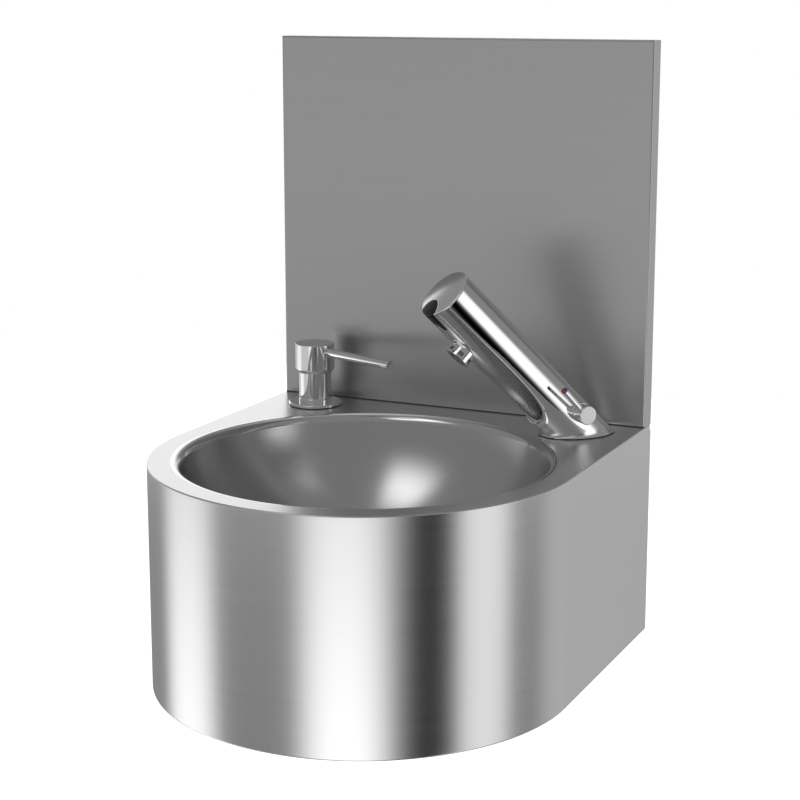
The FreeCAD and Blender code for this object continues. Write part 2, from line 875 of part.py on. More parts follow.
def head_form(inset):
    """The tap's barrel with its domed end, drawn in by inset all round."""
    radius = tap_radius - inset
    edge_radius = cap_edge_radius
    tilt = math.radians(cap_dome_tilt)
    edge_centre = radius - edge_radius
    meet_r = edge_centre + edge_radius * math.sin(tilt)
    meet_z = tap_head - inset + edge_radius * math.cos(tilt)
    dome_radius = meet_r / math.sin(tilt)
    top_z = meet_z + dome_radius * (1.0 - math.cos(tilt))
    half_tilt = tilt / 2.0
    dome_middle = point(
        dome_radius * math.sin(half_tilt), 0, top_z - dome_radius * (1.0 - math.cos(half_tilt)))
    edge_turn = (math.pi / 2.0 - tilt) / 2.0
    edge_middle = point(
        edge_centre + edge_radius * math.cos(edge_turn), 0,
        tap_head - inset + edge_radius * math.sin(edge_turn))
    low = -tap_below_deck_cut
    rim = point(radius, 0, tap_head - inset)
    meet = point(meet_r, 0, meet_z)
    top = point(0, 0, top_z)
    edges = [
        line(point(0, 0, low), point(radius, 0, low)),
        line(point(radius, 0, low), rim),
        arc(rim, edge_middle, meet),
        arc(meet, dome_middle, top),
        line(top, point(0, 0, low)),
    ]
    return turned(edges)


def window_prism():
    """Forked outline of the sensor window, seen from between the tap's end and its underside."""
    diagonal = math.sqrt(0.5)

    def at(side, fall):
        return point(fall * diagonal, side, tap_head - fall * diagonal)

    prong_middle = (window_prong_outer + window_prong_inner) / 2.0
    prong_start = window_prong_end - (window_prong_outer - window_prong_inner) / 2.0
    edges = [arc(
        at(-window_half_width, window_shoulder), at(0.0, window_top),
        at(window_half_width, window_shoulder))]
    edges.append(line(at(window_half_width, window_shoulder), at(window_prong_outer, prong_start)))
    edges.append(arc(
        at(window_prong_outer, prong_start), at(prong_middle, window_prong_end),
        at(window_prong_inner, prong_start)))
    edges.append(line(at(window_prong_inner, prong_start), at(0.0, window_fork)))
    edges.append(line(at(0.0, window_fork), at(-window_prong_inner, prong_start)))
    edges.append(arc(
        at(-window_prong_inner, prong_start), at(-prong_middle, window_prong_end),
        at(-window_prong_outer, prong_start)))
    edges.append(line(at(-window_prong_outer, prong_start), at(-window_half_width, window_shoulder)))
    face = Part.Face(Part.Wire(edges))
    reach = tap_radius * 2.0
    face.translate(point(-diagonal, 0, -diagonal))
    return face.extrude(point(reach * diagonal, 0, reach * diagonal))


def eye_bar(radius, reach):
    """Bar from the sensor out through the head's lower edge, towards the hands."""
    diagonal = point(1, 0, 1)
    inset = sensor_eye_radius
    start = point(sensor_front - inset, 0, sensor_bottom + sensor_length - inset)
    return Part.makeCylinder(radius, reach, start, diagonal)


def make_window():
    shell = head_form(0.0).cut(head_form(window_thickness))
    return shell.common(window_prism())


def scoop_tool():
    """U-shaped step on the underside that fades out towards the aerator."""
    centre = scoop_foot + scoop_half_width
    start = 0.0
    reach = tap_radius * 2.0
    slot = block(start, reach, -scoop_half_width, scoop_half_width, centre, scoop_fade)
    end = bar_along(scoop_half_width, start, reach, 0.0, centre)
    slot = slot.fuse(end).removeSplitter()
    core = rod(tap_radius, -tap_head, tap_head * 2.0)
    core.rotate(point(0, 0, scoop_fade), across, scoop_tilt)
    return slot.cut(core)


def knob_axis_bar(radius, start, end):
    return bar_across(radius, start, end, -knob_above_axis, knob_along)


def make_foot_plate():
    """Thin foot that spreads a little past the barrel where the tap stands on its seal."""
    spread = (foot_front_margin + foot_rear_margin) / 2.0
    shift = (foot_front_margin - foot_rear_margin) / 2.0
    long_half = tap_radius / math.sin(math.radians(tap_rise)) + spread
    side_half = tap_radius + foot_side_margin
    foot = Part.Face(Part.Wire([Part.Ellipse(zero, long_half, side_half).toShape()]))
    foot = foot.extrude(point(0, 0, foot_height))
    foot.rotate(zero, up, tap_heading)
    x, y = on_tap_deck(tap_seal_thickness + shift, 0.0)
    foot.translate(point(x, y, tap_seal_thickness))
    return foot


def make_tap_body():
    """Cast brass barrel leaning over the bowl, with its shank through the deck."""
    barrel = head_form(0.0)
    barrel = barrel.common(rod(tap_radius * 2.0, -tap_below_deck_cut, tap_head))
    seam = [e for e in barrel.Edges if e.BoundBox.ZMin > tap_head - head_seam_chamfer]
    barrel = barrel.makeChamfer(head_seam_chamfer, seam)
    barrel = barrel.cut(scoop_tool())
    barrel = barrel.fuse(knob_axis_bar(knob_boss_radius, 0.0, knob_boss_face)).removeSplitter()
    barrel = barrel.cut(rod(tap_bore, tap_bore_floor, tap_head))
    barrel = barrel.cut(bar_along(
        aerator_radius + aerator_fit, tap_bore / 2.0, tap_radius * 2.0, 0.0, aerator_along))
    barrel = barrel.cut(make_window())
    barrel = barrel.cut(eye_bar(sensor_eye_radius + sensor_eye_clearance, sensor_eye_bore_reach))
    barrel = barrel.cut(knob_axis_bar(cartridge_radius + cartridge_fit, -cartridge_back, knob_boss_face))
    barrel = barrel.cut(rod(mixed_water_bore, knob_along, tap_bore_floor, -mixed_water_offset, 0.0))
    barrel = place_tap(barrel)
    reach = tap_head
    below = block(
        tap_x - reach, tap_x + reach, -tap_from_wall - reach, -tap_from_wall + reach,
        -reach, tap_seal_thickness,
    )
    body = barrel.cut(below).fuse(make_foot_plate())
    bore = place_tap(knob_axis_bar(cartridge_radius + cartridge_fit, -cartridge_back, knob_boss_face))
    shank = rod(tap_shank_radius, -tap_shank_depth, tap_seal_thickness, tap_x, -tap_from_wall)
    body = body.fuse(shank).cut(bore)
    for side in (-1.0, 1.0):
        x, y = on_tap_deck(port_forward, side * port_side)
        body = body.cut(rod(port_radius, -tap_shank_depth, port_top, x, y))
    x, y = on_tap_deck(-stud_back, 0.0)
    return body.cut(rod(stud_radius, -tap_shank_depth, stud_top, x, y))


def make_tap_cap():
    """Domed end cap, pushed into the barrel on a spigot and notched for the window."""
    cap = head_form(0.0).common(rod(tap_radius * 2.0, tap_head, tap_head * 2.0))
    seam = [e for e in cap.Edges if e.BoundBox.ZMax < tap_head + head_seam_chamfer / 2.0]
    cap = cap.makeChamfer(head_seam_chamfer, seam)
    spigot = tube(
        head_spigot_radius, head_spigot_radius - head_spigot_wall,
        tap_head - head_spigot_length, tap_head + head_cap_wall,
    )
    cap = cap.fuse(spigot).removeSplitter()
    cap = cap.cut(make_window())
    return place_tap(cap.cut(eye_bar(sensor_eye_radius + sensor_eye_clearance, sensor_eye_bore_reach)))


def make_sensor_module():
    """Potted infra-red eye and its electronics behind the window."""
    half = sensor_width / 2.0
    case = block(-sensor_rear, sensor_front, -half, half, sensor_bottom, sensor_bottom + sensor_length)
    eye = eye_bar(sensor_eye_radius, sensor_eye_reach).common(head_form(window_thickness))
    return place_tap(case.fuse(eye))


def make_aerator_housing():
    """Screwed aerator ring on the underside, with key slots round its wall."""
    outlet = tap_radius + aerator_stand_out
    ring = bar_along(aerator_radius, aerator_inside, outlet, 0.0, aerator_along)
    ring = ring.cut(bar_along(aerator_bore, aerator_inside, outlet, 0.0, aerator_along))
    slot_high = outlet - aerator_rim
    slot_low = slot_high - aerator_slot_height
    half = aerator_slot_width / 2.0
    for place in range(aerator_slot_count // 2):
        slot = block(slot_low, slot_high, -half, half, -aerator_radius * 2.0, aerator_radius * 2.0)
        slot.rotate(zero, along_wall, half_turn * place / (aerator_slot_count // 2))
        slot.translate(point(0, 0, aerator_along))
        ring = ring.cut(slot)
    return place_tap(ring)


def make_aerator_insert():
    """Plastic jet insert seen up the outlet, pierced by rings of small holes."""
    outlet = tap_radius + aerator_stand_out - aerator_insert_recess
    inner = outlet - aerator_insert_length
    insert = bar_along(aerator_bore - aerator_fit, inner, outlet, 0.0, aerator_along)
    step = aerator_bore / (aerator_hole_rings + 1.0)
    insert = insert.cut(bar_along(aerator_hole_radius, inner, outlet, 0.0, aerator_along))
    for ring in range(1, aerator_hole_rings + 1):
        count = 6 * ring
        for place in range(count):
            turn = 2.0 * math.pi * place / count
            y = ring * step * math.cos(turn)
            z = aerator_along + ring * step * math.sin(turn)
            insert = insert.cut(bar_along(aerator_hole_radius, inner, outlet, y, z))
    return place_tap(insert)


def make_aerator_seal():
    high = aerator_inside + aerator_seal_thickness
    ring = bar_along(aerator_bore, aerator_inside, high, 0.0, aerator_along)
    return place_tap(ring.cut(bar_along(aerator_seal_bore, aerator_inside, high, 0.0, aerator_along)))


def make_water_tube():
    """Tube from the solenoid valve up to the aerator."""
    low = tap_bore_floor + solenoid_length
    corner = aerator_along
    outer = rod(water_tube_radius, low, corner, water_tube_offset, 0.0)
    elbow = bar_along(water_tube_radius, water_tube_offset, aerator_inside, 0.0, corner)
    knuckle = Part.makeSphere(water_tube_radius, point(water_tube_offset, 0, corner))
    bore = rod(water_tube_bore, low, corner, water_tube_offset, 0.0)
    side_bore = bar_along(water_tube_bore, water_tube_offset, aerator_inside, 0.0, corner)
    pipe = outer.fuse(elbow).fuse(knuckle).removeSplitter()
    return place_tap(pipe.cut(bore).cut(side_bore))


def make_solenoid():
    high = tap_bore_floor + solenoid_length
    body = rod(solenoid_radius, tap_bore_floor, high - solenoid_cap_length)
    cap = rod(solenoid_cap_radius, high - solenoid_cap_length, high, 0.0, 0.0)
    seat = rod(water_tube_radius, high - solenoid_cap_length, high, water_tube_offset, 0.0)
    return place_tap(body.fuse(cap).fuse(seat).removeSplitter())


def make_cartridge():
    """Mixing cartridge set across the foot of the barrel."""
    body = knob_axis_bar(cartridge_radius, -cartridge_back, cartridge_front)
    return place_tap(body.cut(knob_axis_bar(
        spindle_radius + running_clearance, cartridge_front - spindle_depth, cartridge_front)))


def make_cartridge_nut():
    end = cartridge_front + cartridge_nut_thickness
    ring = knob_axis_bar(cartridge_radius, cartridge_front, end)
    return place_tap(ring.cut(knob_axis_bar(spindle_radius + loose_clearance, cartridge_front, end)))


def make_spindle():
    start = cartridge_front - spindle_depth + loose_clearance
    return place_tap(knob_axis_bar(spindle_radius, start, knob_face - spindle_end_wall))


def lever_bar(radius, start, end):
    """Bar along the lever, which leans a little outwards from the tap."""
    bar = rod(radius, start, end)
    bar.rotate(zero, along_wall, -lever_lean)
    bar.translate(point(-knob_above_axis, knob_face - lever_from_face, knob_along))
    return bar


def make_knob():
    back = knob_boss_face + knob_gap
    knob = knob_axis_bar(knob_radius, back, knob_face)
    face_rim = [e for e in knob.Edges if e.BoundBox.YMin > knob_face - knob_face_chamfer]
    knob = knob.makeChamfer(knob_face_chamfer, face_rim)
    knob = knob.cut(knob_axis_bar(spindle_radius, back, knob_face - spindle_end_wall))
    knob = knob.cut(lever_bar(lever_radius, 0.0, knob_radius * 2.0))
    return place_tap(knob.cut(grub_bar(grub_screw_radius)))


def grub_bar(radius):
    """Bar up through the knob's underside, where the grub screw pinches the spindle."""
    low = knob_along - knob_radius
    return rod(radius, low, low + grub_screw_length, -knob_above_axis, knob_face - lever_from_face)


def make_grub_screw():
    low = knob_along - knob_radius + grub_socket_radius / 2.0
    screw = grub_bar(grub_screw_radius).common(block(
        -tap_radius, tap_radius, 0.0, tap_radius * 2.0, low, knob_along))
    socket = rod(
        grub_socket_radius, low, low + grub_screw_length / 3.0,
        -knob_above_axis, knob_face - lever_from_face,
    )
    return place_tap(screw.cut(socket))


def make_lever():
    bar = lever_bar(lever_radius, spindle_radius * 1.5, lever_length)
    return place_tap(bar)


def make_lever_mark(half):
    """Half of the round colour mark on the lever's end; half is +1 below and -1 above."""
    disc = rod(lever_mark_radius, lever_length, lever_length + lever_mark_thickness)
    keep = block(
        min(0.0, half * lever_mark_radius), max(0.0, half * lever_mark_radius),
        -lever_mark_radius, lever_mark_radius, lever_length, lever_length + lever_mark_thickness,
    )
    piece = disc.common(keep)
    piece.rotate(zero, along_wall, -lever_lean)
    piece.translate(point(-knob_above_axis, knob_face - lever_from_face, knob_along))
    return place_tap(piece)


def make_tap_base_seal():
    """Thin rubber ring between the tap's foot and the deck."""
    long_half = tap_radius / math.sin(math.radians(tap_rise)) - tap_seal_inset
    side_half = tap_radius - tap_seal_inset
    ring = Part.Face(Part.Wire([Part.Ellipse(zero, long_half, side_half).toShape()]))
    ring = ring.extrude(point(0, 0, tap_seal_thickness))
    ring.rotate(zero, up, tap_heading)
    x, y = on_tap_deck(tap_seal_thickness, 0.0)
    ring.translate(point(x, y, 0))
    return ring.cut(rod(tap_shank_radius, 0.0, tap_seal_thickness, tap_x, -tap_from_wall))


def horseshoe(radius, high, thickness):
    """Plate that slips round the tap's shank and tails, with a hole for the stud."""
    plate = rod(radius, high - thickness, high)
    half_mouth = clamp_mouth_width / 2.0
    mouth_back = -clamp_back_width / 2.0
    mouth = block(mouth_back, radius * 2.0, -half_mouth, half_mouth, high - thickness, high)
    plate = plate.cut(mouth)
    plate = plate.cut(rod(stud_radius + loose_clearance, high - thickness, high, -stud_back, 0.0))
    plate.rotate(zero, up, tap_heading)
    plate.translate(tap_deck_point())
    return plate


clamp_gasket_top = -deck_sheet
clamp_plate_top = clamp_gasket_top - clamp_gasket_thickness
tap_nut_top = clamp_plate_top - clamp_plate_thickness


def make_clamp_gasket():
    gasket = horseshoe(clamp_gasket_radius, clamp_gasket_top, clamp_gasket_thickness)
    return gasket.cut(rod(tap_shank_radius, -tap_shank_depth, 0.0, tap_x, -tap_from_wall))


def make_clamp_plate():
    plate = horseshoe(clamp_plate_radius, clamp_plate_top, clamp_plate_thickness)
    return plate.cut(rod(tap_shank_radius, -tap_shank_depth, 0.0, tap_x, -tap_from_wall))


def make_stud():
    x, y = on_tap_deck(-stud_back, 0.0)
    return rod(stud_radius, stud_bottom, stud_top, x, y)


def make_tap_nut():
    x, y = on_tap_deck(-stud_back, 0.0)
    low = -tap_shank_depth - tap_nut_height
    nut = hex_prism(tap_nut_flats, low, -tap_shank_depth, x, y)
    return nut.cut(rod(stud_radius, low, -tap_shank_depth, x, y))


def make_supply_tail(side):
    """Short threaded nipple screwed into the shank; the supply pipe is joined to its end."""
    x, y = on_tap_deck(port_forward, side * port_side)
    top = -tap_shank_depth + supply_tail_screwed_in
    hex_low = -tap_shank_depth - supply_hex_height
    low = -tap_shank_depth - supply_tail_length
    nipple = rod(port_radius, hex_low, top, x, y)
    nipple = nipple.fuse(hex_prism(supply_hex_flats, hex_low, -tap_shank_depth, x, y))
    nipple = nipple.fuse(rod(supply_tail_radius, low, hex_low, x, y)).removeSplitter()
    return nipple.cut(rod(supply_tail_bore, low, top, x, y))


os.makedirs("parts", exist_ok=True)

pieces = {
    "deck": make_deck(),
    "bowl": make_bowl(),
    "sound_pad": make_sound_pad(),
    "skirt": make_skirt(),
    "splashback": make_splashback(),
    "splash_stiffeners": make_stiffeners(),
    "hook_rail": make_hook_rail(),
    "wall_rail": make_wall_rail(),
    "wall_plate": make_wall_plate(),
    "waste_strainer": make_strainer(),
    "waste_seal": make_waste_seal(),
    "waste_gasket": make_waste_gasket(),
    "waste_body": make_waste_body(),
    "waste_screw": make_waste_screw(),
    "pump_rose": make_pump_rose(),
    "pump_rose_seal": make_pump_rose_seal(),
    "pump_collar": make_pump_collar(),
    "pump_cap": make_pump_cap(),
    "pump_core": make_pump_core(),
    "pump_spout": make_pump_spout(),
    "pump_liner": make_pump_liner(),
    "pump_rod": make_pump_rod(),
    "pump_piston_seal": make_piston_seal(),
    "pump_cylinder": make_pump_cylinder(),
    "pump_spring": make_pump_spring(),
    "pump_ball": make_pump_ball(),
    "pump_dip_tube": make_dip_tube(),
    "pump_washer": make_pump_washer(),
    "pump_nut": make_pump_nut(),
    "soap_bottle": make_bottle(),
    "tap_body": make_tap_body(),
    "tap_cap": make_tap_cap(),
    "sensor_window": place_tap(make_window()),
    "sensor_module": make_sensor_module(),
    "aerator_housing": make_aerator_housing(),
    "aerator_insert": make_aerator_insert(),
    "aerator_seal": make_aerator_seal(),
    "water_tube": make_water_tube(),
    "solenoid_valve": make_solenoid(),
    "mixing_cartridge": make_cartridge(),
    "cartridge_nut": make_cartridge_nut(),
    "cartridge_spindle": make_spindle(),
    "temperature_knob": make_knob(),
    "knob_grub_screw": make_grub_screw(),
    "temperature_lever": make_lever(),
    "hot_mark": make_lever_mark(1.0),
    "cold_mark": make_lever_mark(-1.0),
    "tap_base_seal": make_tap_base_seal(),
    "tap_clamp_gasket": make_clamp_gasket(),
    "tap_clamp_plate": make_clamp_plate(),
    "tap_stud": make_stud(),
    "tap_nut": make_tap_nut(),
    "hot_supply_tail": make_supply_tail(-1.0),
    "cold_supply_tail": make_supply_tail(1.0),
}

for name, shape in pieces.items():
    save(shape, name)
    print(name, len(shape.Solids), round(shape.Volume, 1), shape.isValid())
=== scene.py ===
import math
import bmesh
import bpy
from mathutils import Matrix, Vector


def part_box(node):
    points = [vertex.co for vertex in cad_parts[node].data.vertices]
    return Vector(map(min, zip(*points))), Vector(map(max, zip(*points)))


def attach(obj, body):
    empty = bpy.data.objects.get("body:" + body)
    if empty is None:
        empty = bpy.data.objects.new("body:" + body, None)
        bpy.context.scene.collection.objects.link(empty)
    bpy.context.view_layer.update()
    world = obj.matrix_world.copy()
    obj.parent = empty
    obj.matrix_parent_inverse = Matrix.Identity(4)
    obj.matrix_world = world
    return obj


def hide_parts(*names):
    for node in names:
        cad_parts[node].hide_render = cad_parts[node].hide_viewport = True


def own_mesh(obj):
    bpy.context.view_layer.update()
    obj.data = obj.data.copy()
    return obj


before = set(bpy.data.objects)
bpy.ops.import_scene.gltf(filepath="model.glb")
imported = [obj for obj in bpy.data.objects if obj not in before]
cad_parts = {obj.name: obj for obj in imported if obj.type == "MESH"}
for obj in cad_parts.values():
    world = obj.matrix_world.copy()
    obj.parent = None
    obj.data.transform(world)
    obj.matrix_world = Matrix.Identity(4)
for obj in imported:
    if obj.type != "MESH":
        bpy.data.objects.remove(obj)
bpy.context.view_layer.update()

# ---------------------------------------------------------------------------
# Camera and studio. The camera looks down at the basin from its right, and the
# studio is a plain grey room with large soft boxes and one dark screen.
# ---------------------------------------------------------------------------
camera_place = (0.7332, -1.7206, 0.4246)
camera_turn = 25.15
camera_tilt = 11.41
camera_lens = 83.25
camera_rise = -0.05

camera_data = bpy.data.cameras.new("photo_camera")
camera_data.sensor_width = 36.0
camera_data.lens = camera_lens
camera_data.shift_y = camera_rise
camera = bpy.data.objects.new("photo_camera", camera_data)
camera.location = camera_place
camera.rotation_euler = (math.radians(90.0 - camera_tilt), 0.0, math.radians(camera_turn))
bpy.context.scene.collection.objects.link(camera)
bpy.context.scene.camera = camera

# Brightness of the plain walls below, at and above the height of the basin, and the
# heights in degrees between which one fades into the next.
walls_below = 0.3
walls_level = 0.6
walls_above = 0.25
lower_fade = (-15.5, -13.0)
upper_fade = (3.0, 12.0)

# Each soft box has its compass angle in degrees (0 is to the basin's right and -90 is
# in front of it), half its width, its lower and upper edge, how soft its edges are,
# and its brightness. The last one is the dark screen.
soft_boxes = [
    (-170.0, 15.0, -70.0, -14.0, 12.0, 1.8),
    (-75.0, 15.0, -70.0, -14.0, 15.0, 2.0),
    (0.0, 12.0, -70.0, 20.0, 10.0, 1.2),
    (60.0, 15.0, -70.0, 5.0, 10.0, 0.6),
    (130.0, 20.0, 5.0, 25.0, 8.0, 1.5),
    (-110.0, 20.0, 45.0, 70.0, 12.0, 1.6),
    (-30.0, 10.0, -70.0, 5.0, 8.0, 0.0),
]
bpy.context.scene.view_settings.view_transform = "Standard"

world = bpy.data.worlds.new("studio")
bpy.context.scene.world = world
world.use_nodes = True
room = world.node_tree
room.nodes.clear()


def room_node(kind, **settings):
    node = room.nodes.new(kind)
    for key, value in settings.items():
        setattr(node, key, value)
    return node


def room_math(operation, a, b=None):
    node = room_node("ShaderNodeMath", operation=operation)
    for place, value in enumerate((a, b)):
        if value is None:
            continue
        if isinstance(value, (int, float)):
            node.inputs[place].default_value = value
        else:
            room.links.new(value, node.inputs[place])
    return node.outputs[0]


def room_blend(factor, first, second):
    mix = room_node("ShaderNodeMix", data_type="FLOAT")
    room.links.new(factor, mix.inputs[0])
    for place, value in ((2, first), (3, second)):
        if isinstance(value, float):
            mix.inputs[place].default_value = value
        else:
            room.links.new(value, mix.inputs[place])
    return mix.outputs[0]


def room_step(value, start, end):
    node = room_node("ShaderNodeMapRange", interpolation_type="SMOOTHSTEP")
    room.links.new(value, node.inputs[0])
    node.inputs[1].default_value = start
    node.inputs[2].default_value = end
    return node.outputs[0]


looking = room_node("ShaderNodeTexCoord").outputs["Generated"]
parts_of_look = room_node("ShaderNodeSeparateXYZ")
room.links.new(looking, parts_of_look.inputs[0])
height = room_math("MULTIPLY", room_math("ARCSINE", parts_of_look.outputs[2]), 180.0 / math.pi)
level_look = room_node("ShaderNodeCombineXYZ")
room.links.new(parts_of_look.outputs[0], level_look.inputs[0])
room.links.new(parts_of_look.outputs[1], level_look.inputs[1])
heading = room_node("ShaderNodeVectorMath", operation="NORMALIZE")
room.links.new(level_look.outputs[0], heading.inputs[0])


def room_box(behind, compass, half_span, bottom, top, soft, brightness):
    """A soft box or a dark screen in front of the light behind it."""
    facing = room_node("ShaderNodeVectorMath", operation="DOT_PRODUCT")
    room.links.new(heading.outputs[0], facing.inputs[0])
    turn = math.radians(compass)
    facing.inputs[1].default_value = (math.cos(turn), math.sin(turn), 0.0)
    inside = room_step(facing.outputs["Value"], math.cos(math.radians(half_span + soft)),
                       math.cos(math.radians(half_span - soft)))
    over = room_step(height, bottom - soft, bottom + soft)
    under = room_step(height, top + soft, top - soft)
    cover = room_math("MULTIPLY", room_math("MULTIPLY", inside, over), under)
    return room_blend(cover, behind, brightness)


light = room_blend(room_step(height, *lower_fade), walls_below, walls_level)
light = room_blend(room_step(height, *upper_fade), light, walls_above)
for box in soft_boxes:
    light = room_box(light, *box)
white_room = room_node("ShaderNodeBackground")
white_room.inputs["Color"].default_value = (1.0, 1.0, 1.0, 1.0)
room.links.new(light, white_room.inputs["Strength"])
# The camera sees plain white behind the basin, and every other ray meets the room.
plain_white = room_node("ShaderNodeBackground")
plain_white.inputs["Color"].default_value = (1.0, 1.0, 1.0, 1.0)
plain_white.inputs["Strength"].default_value = 1.0
rays = room_node("ShaderNodeLightPath")
both = room_node("ShaderNodeMixShader")
room.links.new(rays.outputs["Is Camera Ray"], both.inputs[0])
room.links.new(white_room.outputs[0], both.inputs[1])
room.links.new(plain_white.outputs[0], both.inputs[2])
room.links.new(both.outputs[0], room_node("ShaderNodeOutputWorld").inputs[0])

floor_drop = -1.6
floor_size = 14.0
floor_tone = (0.8, 0.8, 0.8, 1.0)
floor_mesh = bpy.data.meshes.new("floor")
floor_half = floor_size / 2.0
floor_mesh.from_pydata(
    [(-floor_half, -floor_half, floor_drop), (floor_half, -floor_half, floor_drop),
     (floor_half, floor_half, floor_drop), (-floor_half, floor_half, floor_drop)],
    [], [(0, 1, 2, 3)])
floor = bpy.data.objects.new("floor", floor_mesh)
bpy.context.scene.collection.objects.link(floor)
floor.visible_glossy = False
floor_finish = bpy.data.materials.new("pale_floor")
floor_finish.use_nodes = True
floor_tree = floor_finish.node_tree
floor_shader = floor_tree.nodes["Principled BSDF"]
floor_shader.inputs["Base Color"].default_value = floor_tone
floor_shader.inputs["Roughness"].default_value = 0.9
floor_shader.inputs["Emission Color"].default_value = (1.0, 1.0, 1.0, 1.0)
floor_shader.inputs["Emission Strength"].default_value = 1.0
floor_seen = floor_tree.nodes.new("ShaderNodeLightPath")
floor_plain = floor_tree.nodes.new("ShaderNodeBsdfDiffuse")
floor_plain.inputs["Color"].default_value = floor_tone
floor_both = floor_tree.nodes.new("ShaderNodeMixShader")
floor_tree.links.new(floor_seen.outputs["Is Camera Ray"], floor_both.inputs[0])
floor_tree.links.new(floor_plain.outputs[0], floor_both.inputs[1])
floor_tree.links.new(floor_shader.outputs[0], floor_both.inputs[2])
floor_tree.links.new(floor_both.outputs[0], floor_tree.nodes["Material Output"].inputs[0])
floor_mesh.materials.append(floor_finish)

# ---------------------------------------------------------------------------
# Deck. A D-shaped plate of 1.5 mm stainless steel with a large round opening,
# folded down all round its outline, and brushed along the wall.
# ---------------------------------------------------------------------------
half_width = 0.1999
bowl_back = -0.235
sheet = 0.0015
deck_fold = 0.0012
deck_flange = 0.006
deck_back = -0.003
opening_radius = 0.1785
round_steps = 120
side_steps = 30
rear_steps = 60
same_point = 0.000002
no_length = 0.000001
fold_bends = [math.radians(15.0 * step) for step in range(7)]


def mesh_piece(name, verts, faces, body="basin", sharp=35.0):
    """New object from points and faces, with outward faces and smooth shading between its edges."""
    mesh = bpy.data.meshes.new(name)
    mesh.from_pydata([tuple(v) for v in verts], [], faces)
    shape = bmesh.new()
    shape.from_mesh(mesh)
    bmesh.ops.remove_doubles(shape, verts=shape.verts, dist=same_point)
    bmesh.ops.dissolve_degenerate(shape, edges=shape.edges, dist=no_length)
    bmesh.ops.recalc_face_normals(shape, faces=shape.faces)
    shape.to_mesh(mesh)
    shape.free()
    piece = bpy.data.objects.new(name, mesh)
    bpy.context.scene.collection.objects.link(piece)
    return smooth_piece(piece, body, sharp)


def smooth_piece(piece, body, sharp):
    """Smooth shading up to an angle in degrees, on the body that the piece moves with."""
    mesh = piece.data
    for face in mesh.polygons:
        face.use_smooth = True
    mesh.set_sharp_from_angle(angle=math.radians(sharp))
    weigh = piece.modifiers.new("weigh", "WEIGHTED_NORMAL")
    weigh.keep_sharp = True
    weigh.weight = 100
    settle(piece)
    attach(piece, body)
    return piece


def settle(piece):
    """Turns a piece's modifiers into plain mesh."""
    bpy.context.view_layer.update()
    ready = piece.evaluated_get(bpy.context.evaluated_depsgraph_get())
    mesh = bpy.data.meshes.new_from_object(ready)
    old = piece.data
    piece.modifiers.clear()
    piece.data = mesh
    mesh.name = piece.name
    bpy.data.meshes.remove(old)


def ring_faces(rows, count, closed_rows=False, closed_ring=True):
    """Four-sided faces between rows of points that each hold the same count."""
    faces = []
    last = rows if closed_rows else rows - 1
    for row in range(last):
        below = row * count
        above = ((row + 1) % rows) * count
        steps = count if closed_ring else count - 1
        for place in range(steps):
            beside = (place + 1) % count
            faces.append((below + place, below + beside, above + beside, above + place))
    return faces


def basin_outline(inset, z):
    """Points of the basin's D outline, drawn in by inset, seen from the bowl's centre."""
    half = half_width - inset
    back = deck_back - inset
    reach = back - bowl_back
    corner = math.atan2(reach, half)
    front = [math.pi + math.pi * k / round_steps for k in range(round_steps + 1)]
    right = [corner * k / side_steps for k in range(1, side_steps + 1)]
    rear = [corner + (math.pi - 2.0 * corner) * k / rear_steps for k in range(1, rear_steps + 1)]
    left = [math.pi - corner + corner * k / side_steps for k in range(1, side_steps)]
    points = []
    for turn in front:
        points.append(Vector((half * math.cos(turn), bowl_back + half * math.sin(turn), z)))
    for turn in right:
        points.append(Vector((half, bowl_back + half * math.tan(turn), z)))
    for turn in rear:
        points.append(Vector((reach / math.tan(turn), back, z)))
    for turn in left:
        points.append(Vector((-half, bowl_back - half * math.tan(turn), z)))
    return points


def opening_ring(outline, radius, z):
    """Points round the bowl's opening, each in line with one of the outline."""
    ring = []
    for p in outline:
        away = Vector((p.x, p.y - bowl_back, 0.0)).normalized()
        ring.append(Vector((away.x * radius, bowl_back + away.y * radius, z)))
    return ring


deck_rings = [opening_ring(basin_outline(0.0, 0.0), opening_radius, 0.0)]
for bend in fold_bends:
    deck_rings.append(basin_outline(
        deck_fold * (1.0 - math.sin(bend)), -deck_fold * (1.0 - math.cos(bend))))
deck_rings.append(basin_outline(0.0, -deck_flange))
deck_rings.append(basin_outline(sheet, -deck_flange))
deck_rings.append(basin_outline(sheet, -sheet - deck_fold / 2.0))
deck_rings.append(basin_outline(sheet + deck_fold / 2.0, -sheet))
deck_rings.append(opening_ring(basin_outline(0.0, 0.0), opening_radius, -sheet))
deck_points = [p for ring in deck_rings for p in ring]
deck_plate = mesh_piece(
    "deck_plate", deck_points, ring_faces(len(deck_rings), len(deck_rings[0]), closed_rows=True))
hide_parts("deck")

# The brushed grain is one group for every sheet of steel here. It takes a
# position that is already stretched along the grain.
coarse_fineness = 0.22
fine_part = 0.6
coarse_part = 0.4
grain_change = 0.06
cool_cast = 1.004
grain_relief = 0.03
grain_height = 0.0001
turned_spread = 0.01
grain_group = bpy.data.node_groups.new("brushed_grain", "ShaderNodeTree")
for socket, kind, start in (
        ("Position", "NodeSocketVector", None), ("Fineness", "NodeSocketFloat", 1.0),
        ("Base Roughness", "NodeSocketFloat", 0.3), ("Tone", "NodeSocketFloat", 0.6)):
    made = grain_group.interface.new_socket(socket, in_out="INPUT", socket_type=kind)
    if start is not None:
        made.default_value = start
for socket, kind in (
        ("Color", "NodeSocketColor"), ("Roughness", "NodeSocketFloat"), ("Height", "NodeSocketFloat")):
    grain_group.interface.new_socket(socket, in_out="OUTPUT", socket_type=kind)


